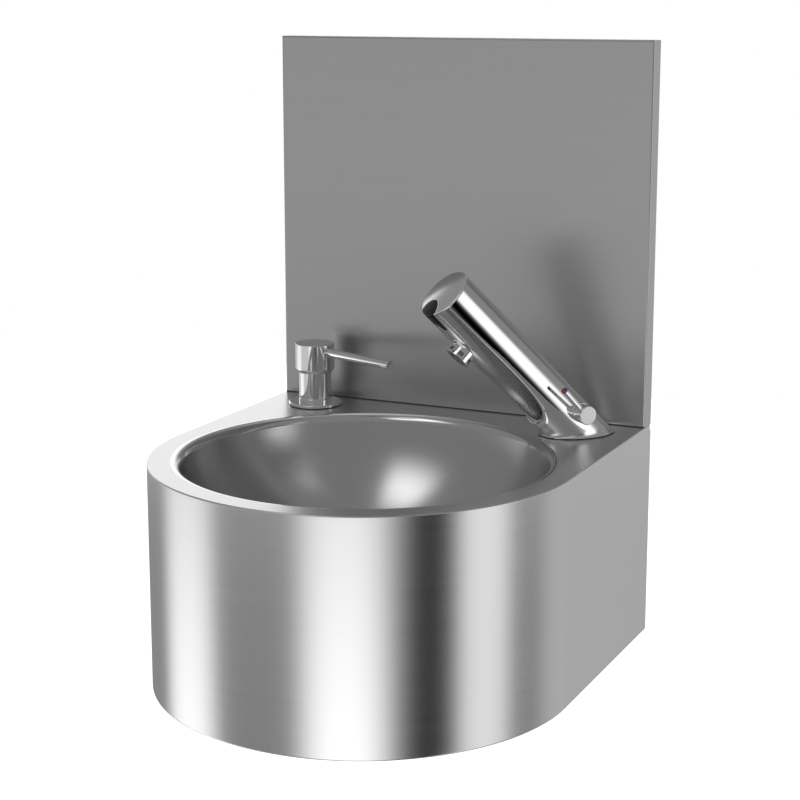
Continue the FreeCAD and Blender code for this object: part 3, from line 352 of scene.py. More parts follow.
def tree_node(tree, kind, **settings):
    node = tree.nodes.new(kind)
    for key, value in settings.items():
        setattr(node, key, value)
    return node


def tree_math(tree, operation, a, b=None, c=None):
    node = tree_node(tree, "ShaderNodeMath", operation=operation)
    for place, value in enumerate((a, b, c)):
        if value is None:
            continue
        if isinstance(value, (int, float)):
            node.inputs[place].default_value = value
        else:
            tree.links.new(value, node.inputs[place])
    return node.outputs[0]


def tree_noise(tree, vector, scale, detail, rough):
    noise = tree_node(tree, "ShaderNodeTexNoise")
    tree.links.new(vector, noise.inputs["Vector"])
    if isinstance(scale, (int, float)):
        noise.inputs["Scale"].default_value = scale
    else:
        tree.links.new(scale, noise.inputs["Scale"])
    noise.inputs["Detail"].default_value = detail
    noise.inputs["Roughness"].default_value = rough
    return noise.outputs["Fac"]


grain_in = tree_node(grain_group, "NodeGroupInput")
grain_out = tree_node(grain_group, "NodeGroupOutput")
fine = tree_noise(grain_group, grain_in.outputs["Position"], grain_in.outputs["Fineness"], 4.0, 0.65)
coarse_scale = tree_math(grain_group, "MULTIPLY", grain_in.outputs["Fineness"], coarse_fineness)
coarse = tree_noise(grain_group, grain_in.outputs["Position"], coarse_scale, 2.0, 0.5)
streak = tree_math(grain_group, "ADD", tree_math(grain_group, "MULTIPLY", fine, fine_part),
                   tree_math(grain_group, "MULTIPLY", coarse, coarse_part))
lift = tree_math(grain_group, "SUBTRACT", streak, 0.5)
rougher = tree_math(
    grain_group, "MULTIPLY_ADD", lift, grain_change, grain_in.outputs["Base Roughness"])
toned = tree_math(grain_group, "MULTIPLY_ADD", lift, grain_change, grain_in.outputs["Tone"])
tint = tree_node(grain_group, "ShaderNodeCombineColor")
cool = tree_math(grain_group, "MULTIPLY", toned, cool_cast)
grain_group.links.new(toned, tint.inputs[0])
grain_group.links.new(toned, tint.inputs[1])
grain_group.links.new(cool, tint.inputs[2])
grain_group.links.new(tint.outputs[0], grain_out.inputs["Color"])
grain_group.links.new(rougher, grain_out.inputs["Roughness"])
grain_group.links.new(streak, grain_out.inputs["Height"])


def new_finish(name):
    finish = bpy.data.materials.new(name)
    finish.use_nodes = True
    return finish, finish.node_tree, finish.node_tree.nodes["Principled BSDF"]


def brushed_finish(name, stretch, tone, roughness, fineness, turned=False):
    """Brushed stainless steel. stretch is how fast the grain changes along X, Y and Z,
    or outwards, round and upwards where the steel is turned about the bowl's middle."""
    finish, tree, shader = new_finish(name)
    place = tree_node(tree, "ShaderNodeTexCoord").outputs["Object"]
    if turned:
        centre = tree_node(tree, "ShaderNodeVectorMath", operation="SUBTRACT")
        tree.links.new(place, centre.inputs[0])
        centre.inputs[1].default_value = (0.0, bowl_back, 0.0)
        split = tree_node(tree, "ShaderNodeSeparateXYZ")
        tree.links.new(centre.outputs[0], split.inputs[0])
        away = tree_math(tree, "SQRT", tree_math(
            tree, "ADD", tree_math(tree, "MULTIPLY", split.outputs[0], split.outputs[0]),
            tree_math(tree, "MULTIPLY", split.outputs[1], split.outputs[1])))
        round_it = tree_math(tree, "MULTIPLY", tree_math(
            tree, "ARCTAN2", split.outputs[1], split.outputs[0]), turned_spread)
        join = tree_node(tree, "ShaderNodeCombineXYZ")
        tree.links.new(away, join.inputs[0])
        tree.links.new(round_it, join.inputs[1])
        tree.links.new(split.outputs[2], join.inputs[2])
        place = join.outputs[0]
    spread = tree_node(tree, "ShaderNodeMapping")
    spread.inputs["Scale"].default_value = stretch
    tree.links.new(place, spread.inputs["Vector"])
    grain = tree_node(tree, "ShaderNodeGroup", node_tree=grain_group)
    tree.links.new(spread.outputs[0], grain.inputs["Position"])
    grain.inputs["Fineness"].default_value = fineness
    grain.inputs["Base Roughness"].default_value = roughness
    grain.inputs["Tone"].default_value = tone
    bump = tree_node(tree, "ShaderNodeBump")
    bump.inputs["Strength"].default_value = grain_relief
    bump.inputs["Distance"].default_value = grain_height
    tree.links.new(grain.outputs["Height"], bump.inputs["Height"])
    tree.links.new(grain.outputs["Color"], shader.inputs["Base Color"])
    tree.links.new(grain.outputs["Roughness"], shader.inputs["Roughness"])
    tree.links.new(bump.outputs[0], shader.inputs["Normal"])
    shader.inputs["Metallic"].default_value = 1.0
    return finish


# The deck's tone is lighter than the skirt's, the bowl's and the splashback's, though all are one steel:
# this paints the light that falls on its top.
deck_steel = brushed_finish("deck_steel", (0.012, 1.0, 1.0), 0.70, 0.3, 1600.0)
deck_plate.data.materials.append(deck_steel)

# ---------------------------------------------------------------------------
# Bowl. A round bowl pressed from one disc of stainless steel, turned over at
# its rim where it is welded into the deck, with a recessed seat for the waste.
# ---------------------------------------------------------------------------
rim_radius = 0.010
bowl_depth = 0.135
seat_radius = 0.034
seat_hole = 0.022
bowl_steps = 256
rim_steps = 14
ball_steps = 71
seat_corner = 0.0008


def shape_tree(name, sizes):
    """Geometry Nodes tree with a named input for each of its sizes and one for the finish."""
    tree = bpy.data.node_groups.new(name, "GeometryNodeTree")
    tree.interface.new_socket("Outline", in_out="INPUT", socket_type="NodeSocketGeometry")
    for size, start in sizes.items():
        kind = "NodeSocketInt" if isinstance(start, int) else "NodeSocketFloat"
        made = tree.interface.new_socket(size, in_out="INPUT", socket_type=kind)
        made.default_value = start
    tree.interface.new_socket("Finish", in_out="INPUT", socket_type="NodeSocketMaterial")
    tree.interface.new_socket("Shape", in_out="OUTPUT", socket_type="NodeSocketGeometry")
    return tree, tree_node(tree, "NodeGroupInput")


def tree_link(tree, node, wires):
    """Wires a node's inputs by name and gives its first output, if it has one."""
    for socket, source in wires.items():
        tree.links.new(source, node.inputs[socket])
    return node.outputs[0] if len(node.outputs) else None


def end_tree(tree, sizes_in, shape):
    """Makes a tree's shape real, gives it its finish and hands it out."""
    real = tree_link(tree, tree_node(tree, "GeometryNodeRealizeInstances"), {"Geometry": shape})
    dressed = tree_link(tree, tree_node(tree, "GeometryNodeSetMaterial"), {
        "Geometry": real, "Material": sizes_in.outputs["Finish"]})
    tree_link(tree, tree_node(tree, "NodeGroupOutput"), {"Shape": dressed})


def grown_piece(name, tree, finish, growths, place, outline=None, sharp=35.0):
    """Plain mesh from a Geometry Nodes tree, which is grown once for each set of sizes."""
    whole = bmesh.new()
    for sizes in growths:
        seed = bpy.data.objects.new(name, outline or bpy.data.meshes.new(name))
        bpy.context.scene.collection.objects.link(seed)
        grow = seed.modifiers.new("grow", "NODES")
        grow.node_group = tree
        given = dict(sizes, Finish=finish)
        for socket in tree.interface.items_tree:
            if socket.item_type == "SOCKET" and socket.in_out == "INPUT" and socket.name in given:
                grow[socket.identifier] = given[socket.name]
        settle(seed)
        whole.from_mesh(seed.data)
        grown = seed.data
        bpy.data.objects.remove(seed)
        bpy.data.meshes.remove(grown)
    bmesh.ops.transform(whole, matrix=place, verts=whole.verts)
    bmesh.ops.remove_doubles(whole, verts=whole.verts, dist=same_point)
    bmesh.ops.recalc_face_normals(whole, faces=whole.faces)
    mesh = bpy.data.meshes.new(name)
    whole.to_mesh(mesh)
    whole.free()
    mesh.materials.append(finish)
    piece = bpy.data.objects.new(name, mesh)
    bpy.context.scene.collection.objects.link(piece)
    return smooth_piece(piece, "basin", sharp)


ball_rise = (opening_radius ** 2 - bowl_depth ** 2) / (2.0 * bowl_depth) - rim_radius
ball_radius = ball_rise + bowl_depth
bowl_centre = Matrix.Translation((0.0, bowl_back, 0.0))


def ball_height(radius, away):
    """Level of a ball's underside, at a distance from the bowl's middle line."""
    return ball_rise - math.sqrt(radius ** 2 - away ** 2)


rim_fall = (-rim_radius - ball_rise) / math.hypot(opening_radius, -rim_radius - ball_rise)
rim_side = opening_radius / math.hypot(opening_radius, -rim_radius - ball_rise)
rim_end = math.atan2(-rim_fall, -rim_side)


def bowl_skin(radius, rim, seat, floor_level):
    """Profile of one face of the bowl's sheet, from the rim down to the waste hole."""
    skin = []
    for step in range(rim_steps + 1):
        turn = math.pi / 2.0 + (rim_end - math.pi / 2.0) * step / rim_steps
        skin.append((opening_radius + rim * math.cos(turn), -rim_radius + rim * math.sin(turn)))
    start = skin[-1][0]
    for step in range(1, ball_steps + 1):
        away = start + (seat + seat_corner - start) * step / ball_steps
        skin.append((away, ball_height(radius, away)))
    skin.append((seat, ball_height(radius, seat + seat_corner) - seat_corner / 2.0))
    skin.append((seat, floor_level + seat_corner))
    skin.append((seat - seat_corner / 2.0, floor_level + seat_corner / 3.0))
    skin.append((seat - seat_corner, floor_level))
    skin.append((seat_hole, floor_level))
    return skin


inner_skin = bowl_skin(ball_radius, rim_radius, seat_radius, -bowl_depth)
outer_skin = bowl_skin(
    ball_radius + sheet, rim_radius - sheet, seat_radius + sheet, -bowl_depth - sheet)

# The pressing is a turned shape: its outline, closed on itself, swept round a circle.
pressing, pressing_in = shape_tree(
    "round_pressing", {"Radius": opening_radius, "Steps": bowl_steps})
pressing_path = tree_link(pressing, tree_node(pressing, "GeometryNodeCurvePrimitiveCircle"), {
    "Resolution": pressing_in.outputs["Steps"], "Radius": pressing_in.outputs["Radius"]})
pressing_outline = tree_link(pressing, tree_node(pressing, "GeometryNodeMeshToCurve"), {
    "Mesh": pressing_in.outputs["Outline"]})
pressing_swept = tree_link(pressing, tree_node(pressing, "GeometryNodeCurveToMesh"), {
    "Curve": pressing_path, "Profile Curve": pressing_outline})
end_tree(pressing, pressing_in, pressing_swept)

bowl_section = inner_skin + outer_skin[::-1]
bowl_outline = bpy.data.meshes.new("bowl_outline")
bowl_outline.from_pydata(
    [(away - opening_radius, -level, 0.0) for away, level in bowl_section],
    [(k, (k + 1) % len(bowl_section)) for k in range(len(bowl_section))], [])
bowl_steel = brushed_finish(
    "bowl_steel", (1.0, 1.0, 1.0), 0.62, 0.21, 900.0, turned=True)
round_bowl = grown_piece(
    "round_bowl", pressing, bowl_steel, [{"Radius": opening_radius, "Steps": bowl_steps}],
    place=bowl_centre, outline=bowl_outline)

# The turned rim is polished smoother than the brushed bowl below it, and its lighter tone paints a
# highlight along it.
round_bowl.data.materials.append(brushed_finish(
    "rim_polish_painted_highlight", (1.0, 1.0, 1.0), 0.72, 0.1, 900.0, turned=True))
rim_foot = rim_radius * (math.sin(rim_end) - 1.0)
for face in round_bowl.data.polygons:
    if face.center.z > rim_foot:
        face.material_index = 1
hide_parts("bowl")

# ---------------------------------------------------------------------------
# Skirt. One strip of 1.5 mm stainless steel rolled round the front, with a lip
# turned in along its bottom edge. It is welded under the deck and brushed level.
# ---------------------------------------------------------------------------
skirt_bottom = -0.214
skirt_lip = 0.014
skirt_bend = 0.002
skirt_inner_bend = 0.0008
skirt_side_steps = 24
skirt_round_steps = 192
folded_tilt = 0.35


def skirt_path():
    """Places along the skirt, each with the direction that points inwards."""
    path = []
    for step in range(skirt_side_steps + 1):
        path.append((Vector((-half_width, bowl_back * step / skirt_side_steps, 0.0)),
                     Vector((1.0, 0.0, 0.0))))
    for step in range(1, skirt_round_steps):
        turn = math.pi + math.pi * step / skirt_round_steps
        out = Vector((math.cos(turn), math.sin(turn), 0.0))
        path.append((Vector((0.0, bowl_back, 0.0)) + out * half_width, -out))
    for step in range(skirt_side_steps + 1):
        path.append((Vector((half_width, bowl_back * (1.0 - step / skirt_side_steps), 0.0)),
                     Vector((-1.0, 0.0, 0.0))))
    return path


skirt_section = [(sheet, -deck_flange), (0.0, -deck_flange)]
for bend in fold_bends:
    skirt_section.append((skirt_bend * (1.0 - math.cos(bend)),
                          skirt_bottom + skirt_bend * (1.0 - math.sin(bend))))
skirt_section += [(skirt_lip, skirt_bottom), (skirt_lip, skirt_bottom + sheet),
                  (sheet + skirt_inner_bend, skirt_bottom + sheet),
                  (sheet, skirt_bottom + sheet + skirt_inner_bend)]
skirt_places = skirt_path()
skirt_points = [spot + inward * inset + Vector((0.0, 0.0, level))
                for spot, inward in skirt_places for inset, level in skirt_section]
skirt_faces = ring_faces(len(skirt_places), len(skirt_section))
skirt_faces.append(tuple(range(len(skirt_section))))
skirt_faces.append(tuple(range(len(skirt_points) - len(skirt_section), len(skirt_points))))
front_skirt = mesh_piece("front_skirt", skirt_points, skirt_faces)
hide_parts("skirt")
skirt_steel = brushed_finish("skirt_steel", (0.02, 0.02, 1.0), 0.64, 0.24, 900.0)
front_skirt.data.materials.append(skirt_steel)
# The deck's folded edge is brushed together with the skirt.
deck_plate.data.materials.append(skirt_steel)
for face in deck_plate.data.polygons:
    if abs(face.normal.z) < folded_tilt:
        face.material_index = 1

# ---------------------------------------------------------------------------
# Splashback. A tray folded from 1.5 mm stainless steel: a flat front, sides and
# top turned back to the wall, and narrow lips turned in behind.
# ---------------------------------------------------------------------------
splash_top = 0.375
splash_depth = 0.020
splash_bend = 0.0018
splash_lip = 0.012
splash_joint = 0.0009
splash_lip_bend = 0.0008
level_margin = 0.0001
tray_corners = 4


def tray_ring(inset, y):
    """Four corners of the tray's open outline: left foot, left top, right top, right foot."""
    side = half_width - inset
    top = splash_top - inset
    foot = splash_joint if y < sheet - splash_depth + level_margin else 0.0
    return [Vector((-side, y, foot)), Vector((-side, y, top)), Vector((side, y, top)),
            Vector((side, y, foot))]


tray_section = [(splash_lip, 0.0), (splash_lip_bend, 0.0), (0.0, -splash_lip_bend)]
for bend in fold_bends:
    tray_section.append((splash_bend * (1.0 - math.cos(bend)),
                         -splash_depth + splash_bend * (1.0 - math.sin(bend))))
tray_inside = [(splash_bend, sheet - splash_depth), (sheet, splash_bend - splash_depth),
               (sheet, -sheet), (splash_lip, -sheet)]
tray_points = [p for inset, y in tray_section for p in tray_ring(inset, y)]
tray_faces = ring_faces(len(tray_section), tray_corners, closed_ring=False)
front_start = (len(tray_section) - 1) * tray_corners
tray_faces.append(tuple(range(front_start, front_start + tray_corners)))
inner_start = len(tray_points)
tray_points += [p for inset, y in tray_inside for p in tray_ring(inset, y)]
tray_faces += [tuple(inner_start + k for k in face)
               for face in ring_faces(len(tray_inside), tray_corners, closed_ring=False)]
tray_faces.append(tuple(range(inner_start, inner_start + tray_corners)))
inner_last = len(tray_points) - tray_corners
for place in range(tray_corners - 1):
    tray_faces.append((place, place + 1, inner_last + place + 1, inner_last + place))
for foot_corner in (0, tray_corners - 1):
    foot_edge = [tray_corners * k + foot_corner for k in range(len(tray_section))]
    inner_edge = [inner_start + tray_corners * k + foot_corner for k in range(len(tray_inside))]
    tray_faces.append(tuple(foot_edge + inner_edge))
tray_faces.append(
    (front_start, front_start + tray_corners - 1, inner_start + tray_corners - 1, inner_start))
splash_tray = mesh_piece("splash_tray", tray_points, tray_faces)
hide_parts("splashback")
# The splashback's tone is darker than the deck's and the skirt's, though all are one steel: this paints
# shade on the panel.
splash_steel = brushed_finish("splash_steel", (0.02, 1.0, 1.0), 0.50, 0.30, 900.0)
splash_tray.data.materials.append(splash_steel)

# The joint between the panel and the deck is closed by a thin bead, near black, which paints the shade of
# the crease there.
bead_back = sheet - splash_depth
bead_end_gap = 0.0003
bead_set_back = (0.0006, 0.0004, 0.0002)
bead_profile = [(bead_back, 0.0), (bead_back, splash_joint),
                (-splash_depth + bead_set_back[0], splash_joint),
                (-splash_depth + bead_set_back[1], splash_joint / 2.0),
                (-splash_depth + bead_set_back[2], 0.0)]
bead_points = []
for side in (-1.0, 1.0):
    for y, z in bead_profile:
        bead_points.append(Vector((side * (half_width - bead_end_gap), y, z)))
bead_count = len(bead_profile)
bead_faces = ring_faces(2, bead_count)
bead_faces.append(tuple(range(bead_count)))
bead_faces.append(tuple(range(bead_count, 2 * bead_count)))
joint_bead = mesh_piece("splash_joint_bead", bead_points, bead_faces)

gloss_change = 0.12
bump_height = 0.0003
finer_spots = 6.0


def plain_finish(name, colour, roughness, metal=0.0, spots=180.0, change=0.12, bumps=0.05, clear=0.0):
    """Even finish with the small changes of tone, gloss and surface that the real one has."""
    finish, tree, shader = new_finish(name)
    place = tree_node(tree, "ShaderNodeTexCoord").outputs["Object"]
    cloud = tree_noise(tree, place, spots, 5.0, 0.6)
    lift = tree_math(tree, "SUBTRACT", cloud, 0.5)
    shade = tree_math(tree, "MULTIPLY_ADD", lift, change, 1.0)
    mix = tree_node(tree, "ShaderNodeVectorMath", operation="SCALE")
    mix.inputs[0].default_value = colour
    tree.links.new(shade, mix.inputs["Scale"])
    tree.links.new(mix.outputs[0], shader.inputs["Base Color"])
    gloss = tree_math(tree, "MULTIPLY_ADD", lift, gloss_change, roughness)
    tree.links.new(gloss, shader.inputs["Roughness"])
    bump = tree_node(tree, "ShaderNodeBump")
    bump.inputs["Strength"].default_value = bumps
    bump.inputs["Distance"].default_value = bump_height
    tree.links.new(tree_noise(tree, place, spots * finer_spots, 4.0, 0.6), bump.inputs["Height"])
    tree.links.new(bump.outputs[0], shader.inputs["Normal"])
    shader.inputs["Metallic"].default_value = metal
    shader.inputs["Coat Weight"].default_value = clear
    return finish


# Near-black sealant: painted shade along the crease between panel and deck.
painted_shade_sealant = plain_finish("painted_shade_sealant", (0.05, 0.05, 0.05), 0.6, 0.0, 500.0, 0.2, 0.2)
joint_bead.data.materials.append(painted_shade_sealant)

# ---------------------------------------------------------------------------
# Rear fixings. Plain mill-finish steel that only the fitter sees: the wall
# plate, the two hanging rails and the channels welded behind the splashback.
# ---------------------------------------------------------------------------
def dress_node(node, finish):
    """Gives a CAD solid its finish where it needs no mesh of its own."""
    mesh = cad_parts[node].data
    mesh.materials.clear()
    mesh.materials.append(finish)


mill_steel = plain_finish("mill_steel", (0.52, 0.52, 0.53), 0.42, 1.0, 90.0, 0.2)
for node in ("wall_plate", "wall_rail", "hook_rail", "splash_stiffeners"):
    dress_node(node, mill_steel)

# ---------------------------------------------------------------------------
# Sound pad. A ring of black bitumen felt stuck under the bowl, which stops the
# steel from ringing when water falls in it.
# ---------------------------------------------------------------------------
bitumen = plain_finish("bitumen_felt", (0.035, 0.034, 0.033), 0.85, 0.0, 700.0, 0.5, 0.5)
same_cad_point = 0.000004


def merged_copy(node, name, body, sharp=32.0):
    """Copy of a CAD node with its triangles joined, so that its round faces shade smoothly."""
    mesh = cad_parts[node].data.copy()
    mesh.materials.clear()
    shape = bmesh.new()
    shape.from_mesh(mesh)
    bmesh.ops.remove_doubles(shape, verts=shape.verts, dist=same_cad_point)
    shape.to_mesh(mesh)
    shape.free()
    piece = bpy.data.objects.new(name, mesh)
    bpy.context.scene.collection.objects.link(piece)
    smooth_piece(piece, body, sharp)
    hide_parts(node)
    return piece


pad = merged_copy("sound_pad", "bitumen_ring", "basin")
pad.data.materials.append(bitumen)

# ---------------------------------------------------------------------------
# Waste. A polished strainer plate is pulled down into the bowl's seat by one
# slotted screw, which threads into the white plastic waste body underneath.
# ---------------------------------------------------------------------------
polished = plain_finish("polished_steel", (0.74, 0.74, 0.75), 0.13, 1.0, 60.0, 0.06, 0.01)
white_plastic = plain_finish("white_plastic", (0.72, 0.72, 0.70), 0.45, 0.0, 240.0, 0.06, 0.12)
black_rubber = plain_finish("black_rubber", (0.025, 0.025, 0.026), 0.62, 0.0, 500.0, 0.3, 0.25)

for node, name, finish, kind in (
        ("waste_strainer", "strainer_plate", polished, "polished_steel"),
        ("waste_screw", "strainer_screw", polished, "polished_steel"),
        ("waste_body", "waste_tail", white_plastic, "waste_plastic"),
        ("waste_seal", "waste_upper_seal", black_rubber, "seal_rubber"),
        ("waste_gasket", "waste_lower_gasket", black_rubber, "seal_rubber")):
    piece = merged_copy(node, name, "basin")
    piece.data.materials.append(finish)

# Each hole of the strainer is punched from below, which leaves a soft raised lip. The
# holes stand in two rings: radius of the ring, number of holes, radius of their lips.
strainer_holes = ((0.014, 6, 0.0033), (0.0215, 12, 0.0025))
strainer_lip = 0.0003
lips, lips_in = shape_tree("ring_of_lips", {
    "Circle Radius": 0.014, "Count": 6, "Lip Radius": 0.0033, "Lip Thickness": strainer_lip})
lip_places = tree_link(lips, tree_node(lips, "GeometryNodeMeshCircle"), {
    "Vertices": lips_in.outputs["Count"], "Radius": lips_in.outputs["Circle Radius"]})
lip_path_node = tree_node(lips, "GeometryNodeCurvePrimitiveCircle")
lip_path_node.inputs["Resolution"].default_value = 20
lip_path = tree_link(lips, lip_path_node, {"Radius": lips_in.outputs["Lip Radius"]})
lip_round_node = tree_node(lips, "GeometryNodeCurvePrimitiveCircle")
lip_round_node.inputs["Resolution"].default_value = 6
lip_round = tree_link(lips, lip_round_node, {"Radius": lips_in.outputs["Lip Thickness"]})
lip = tree_link(lips, tree_node(lips, "GeometryNodeCurveToMesh"), {
    "Curve": lip_path, "Profile Curve": lip_round})
lip_ring = tree_link(lips, tree_node(lips, "GeometryNodeInstanceOnPoints"), {
    "Points": lip_places, "Instance": lip})
end_tree(lips, lips_in, lip_ring)
strainer_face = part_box("waste_strainer")[1][2]
strainer_lips = grown_piece("strainer_hole_lips", lips, polished, [
    {"Circle Radius": circle, "Count": holes, "Lip Radius": lip_radius, "Lip Thickness": strainer_lip}
    for circle, holes, lip_radius in strainer_holes],
    place=Matrix.Translation((0.0, bowl_back, strainer_face)), sharp=60.0)

# The tail's thread is one ridge wound round it, as every thread and coil here is.
winding, winding_in = shape_tree("wound_ridge", {
    "Coil Radius": 0.02, "Ridge Radius": 0.0007, "Height": 0.03, "Turns": 12.0, "Sides": 4})
winding_path_node = tree_node(winding, "GeometryNodeCurveSpiral")
winding_path_node.inputs["Resolution"].default_value = 36
winding_path = tree_link(winding, winding_path_node, {
    "Rotations": winding_in.outputs["Turns"], "Start Radius": winding_in.outputs["Coil Radius"],
    "End Radius": winding_in.outputs["Coil Radius"], "Height": winding_in.outputs["Height"]})
winding_round = tree_link(winding, tree_node(winding, "GeometryNodeCurvePrimitiveCircle"), {
    "Resolution": winding_in.outputs["Sides"], "Radius": winding_in.outputs["Ridge Radius"]})
winding_swept_node = tree_node(winding, "GeometryNodeCurveToMesh")
winding_swept_node.inputs["Fill Caps"].default_value = True
winding_swept = tree_link(winding, winding_swept_node, {
    "Curve": winding_path, "Profile Curve": winding_round})
end_tree(winding, winding_in, winding_swept)


def thread_on(name, node, radius, start, height, pitch, ridge, finish):
    """Thread round the upright rod of a node, from a height above the node's foot."""
    low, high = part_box(node)
    foot = Matrix.Translation(((low[0] + high[0]) / 2.0, (low[1] + high[1]) / 2.0, low[2] + start))
    thread = grown_piece(name, winding, finish, [{
        "Coil Radius": radius, "Ridge Radius": ridge, "Height": height, "Turns": height / pitch,
        "Sides": 4}], place=foot, sharp=40.0)


thread_on("waste_tail_thread", "waste_body", radius=0.02095, start=0.002, height=0.034,
          pitch=0.0023, ridge=0.0007, finish=white_plastic)

# ---------------------------------------------------------------------------
# Soap pump. A turned brass rose and collar stand on the deck, bright chromed,
# and the push cap with its long thin spout slides over the collar.
# ---------------------------------------------------------------------------
pump_place = Matrix.Translation((-0.143, -0.0613, 0.0))
rose_foot = 0.0008
rose_top = 0.0036
rose_radius = 0.0275
rose_gap = 0.0003
rose_bevel = 0.0008
rose_bevel_height = 0.0006
groove_foot = 0.0072
groove_top = 0.0082
groove_depth = 0.0007
collar_radius = 0.0166
collar_bore = 0.012
collar_top = 0.039
shank_radius = 0.0135
shank_foot = -0.046
cap_radius = 0.0201
cap_foot = 0.0347
cap_top = 0.0644
cap_taper = 0.0026
cap_taper_height = 0.0036
cap_gap = 0.0005
cap_ceiling = 0.0529
spout_level = 0.057
spout_start = 0.012
spout_end = 0.110
spout_radius = 0.00445
spout_heading = -20.0
edge_steps = 3


def turned_piece(name, profile, place, body="basin", steps=96, closed=True):
    """Solid of revolution about Z from (radius, height) points, moved by a matrix."""
    rows = len(profile)
    points = []
    for radius, level in profile:
        for step in range(steps):
            turn = 2.0 * math.pi * step / steps
            points.append(Vector((radius * math.cos(turn), radius * math.sin(turn), level)))
    points = [place @ p for p in points]
    return mesh_piece(name, points, ring_faces(rows, steps, closed_rows=closed), body)


def chrome_finish(name, tone=0.86, roughness=0.035):
    """Bright chrome plate: almost a mirror, with faint wiping marks."""
    finish, tree, shader = new_finish(name)
    place = tree_node(tree, "ShaderNodeTexCoord").outputs["Object"]
    wipes = tree_noise(tree, place, 60.0, 4.0, 0.6)
    lift = tree_math(tree, "SUBTRACT", wipes, 0.5)
    tree.links.new(tree_math(tree, "MULTIPLY_ADD", lift, 0.05, roughness), shader.inputs["Roughness"])
    shade = tree_math(tree, "MULTIPLY_ADD", lift, 0.04, tone)
    tint = tree_node(tree, "ShaderNodeCombineColor")
    tree.links.new(shade, tint.inputs[0])
    tree.links.new(tree_math(tree, "MULTIPLY", shade, 1.004), tint.inputs[1])
    tree.links.new(tree_math(tree, "MULTIPLY", shade, 1.012), tint.inputs[2])
    tree.links.new(tint.outputs[0], shader.inputs["Base Color"])
    shader.inputs["Metallic"].default_value = 1.0
    return finish


chrome = chrome_finish("bright_chrome")


def soft_edge(corner, before, after, radius):
    """Points that round a profile's corner off."""
    back = (Vector(before) - Vector(corner)).normalized() * radius
    on = (Vector(after) - Vector(corner)).normalized() * radius
    points = []
    for step in range(edge_steps + 1):
        share = step / edge_steps
        middle = Vector(corner) + back * (1.0 - share) ** 2 + on * share ** 2
        points.append((middle.x, middle.y))
    return points


def rounded_profile(corners, radius):
    """Closed profile with every corner rounded off, up to a third of its shorter side."""
    points = []
    count = len(corners)
    for k, corner in enumerate(corners):
        before = corners[k - 1]
        after = corners[(k + 1) % count]
        room_here = min((Vector(before) - Vector(corner)).length, (Vector(after) - Vector(corner)).length)
        if corner[0] < 0.00001:
            points.append(corner)
        else:
            points += soft_edge(corner, before, after, min(radius, room_here / 3.0))
    return points


rose = turned_piece("pump_rose_ring", rounded_profile(
    [(shank_radius + rose_gap, rose_foot), (rose_radius, rose_foot),
     (rose_radius, rose_top - rose_bevel_height), (rose_radius - rose_bevel, rose_top),
     (shank_radius + rose_gap, rose_top)], 0.0003), place=pump_place)
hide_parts("pump_rose")
collar = turned_piece("pump_collar_sleeve", rounded_profile(
    [(collar_bore, shank_foot), (shank_radius, shank_foot), (shank_radius, rose_top),
     (collar_radius, rose_top), (collar_radius, groove_foot),
     (collar_radius - groove_depth, groove_foot), (collar_radius - groove_depth, groove_top),
     (collar_radius, groove_top), (collar_radius, collar_top), (collar_bore, collar_top)], 0.0003),
    place=pump_place)
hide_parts("pump_collar")
cap = turned_piece("pump_push_cap", rounded_profile(
    [(0.0, cap_top), (cap_radius, cap_top), (cap_radius, cap_foot + cap_taper_height),
     (cap_radius - cap_taper, cap_foot), (collar_radius + cap_gap, cap_foot),
     (collar_radius + cap_gap, cap_ceiling), (0.0, cap_ceiling)], 0.0004),
    body="pump_head", place=pump_place, closed=False)
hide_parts("pump_cap")

spout_turn = Matrix.Rotation(math.radians(spout_heading), 4, "Z")
spout_lie = Matrix.Rotation(math.radians(90.0), 4, "Y")
spout_place = pump_place @ Matrix.Translation((0.0, 0.0, spout_level)) @ spout_turn @ spout_lie
spout = turned_piece("pump_spout_tube", rounded_profile(
    [(0.0, spout_start), (spout_radius, spout_start), (spout_radius, spout_end),
     (0.0, spout_end)], 0.0004),
    body="pump_head", steps=48, place=spout_place, closed=False)
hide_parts("pump_spout")
for piece in (rose, collar, cap, spout):
    piece.data.materials.append(chrome)

rose_seal = merged_copy("pump_rose_seal", "pump_rose_gasket", "basin")
rose_seal.data.materials.append(black_rubber)

# ---------------------------------------------------------------------------
# Soap pump below the deck. Moulded barrel, rod and liner, a steel spring and
# ball, a flat washer, a plastic nut, and a milky bottle with its dip tube.
# ---------------------------------------------------------------------------
milky = plain_finish("milky_bottle", (0.70, 0.73, 0.73), 0.38, 0.0, 90.0, 0.05, 0.08)
bright_wire = plain_finish("bright_wire", (0.66, 0.66, 0.67), 0.2, 1.0, 200.0, 0.08)
for node, name, body, finish, kind in (
        ("pump_core", "pump_core_block", "pump_head", white_plastic, "pump_plastic"),
        ("pump_liner", "pump_spout_liner", "pump_head", white_plastic, "pump_plastic"),
        ("pump_rod", "pump_hollow_rod", "pump_plunger", white_plastic, "pump_plastic"),
        ("pump_piston_seal", "pump_piston_ring", "pump_plunger", black_rubber, "seal_rubber"),
        ("pump_cylinder", "pump_barrel", "basin", white_plastic, "pump_plastic"),
        ("pump_ball", "pump_check_ball", "pump_check_ball", bright_wire, "spring_steel"),
        ("pump_dip_tube", "pump_dip_pipe", "basin", milky, "bottle_plastic"),
        ("pump_washer", "pump_flat_washer", "basin", mill_steel, "plain_steel"),
        ("pump_nut", "pump_deck_nut", "basin", white_plastic, "pump_plastic"),
        ("soap_bottle", "soap_bottle_shell", "basin", milky, "bottle_plastic")):
    piece = merged_copy(node, name, body)
    piece.data.materials.append(finish)
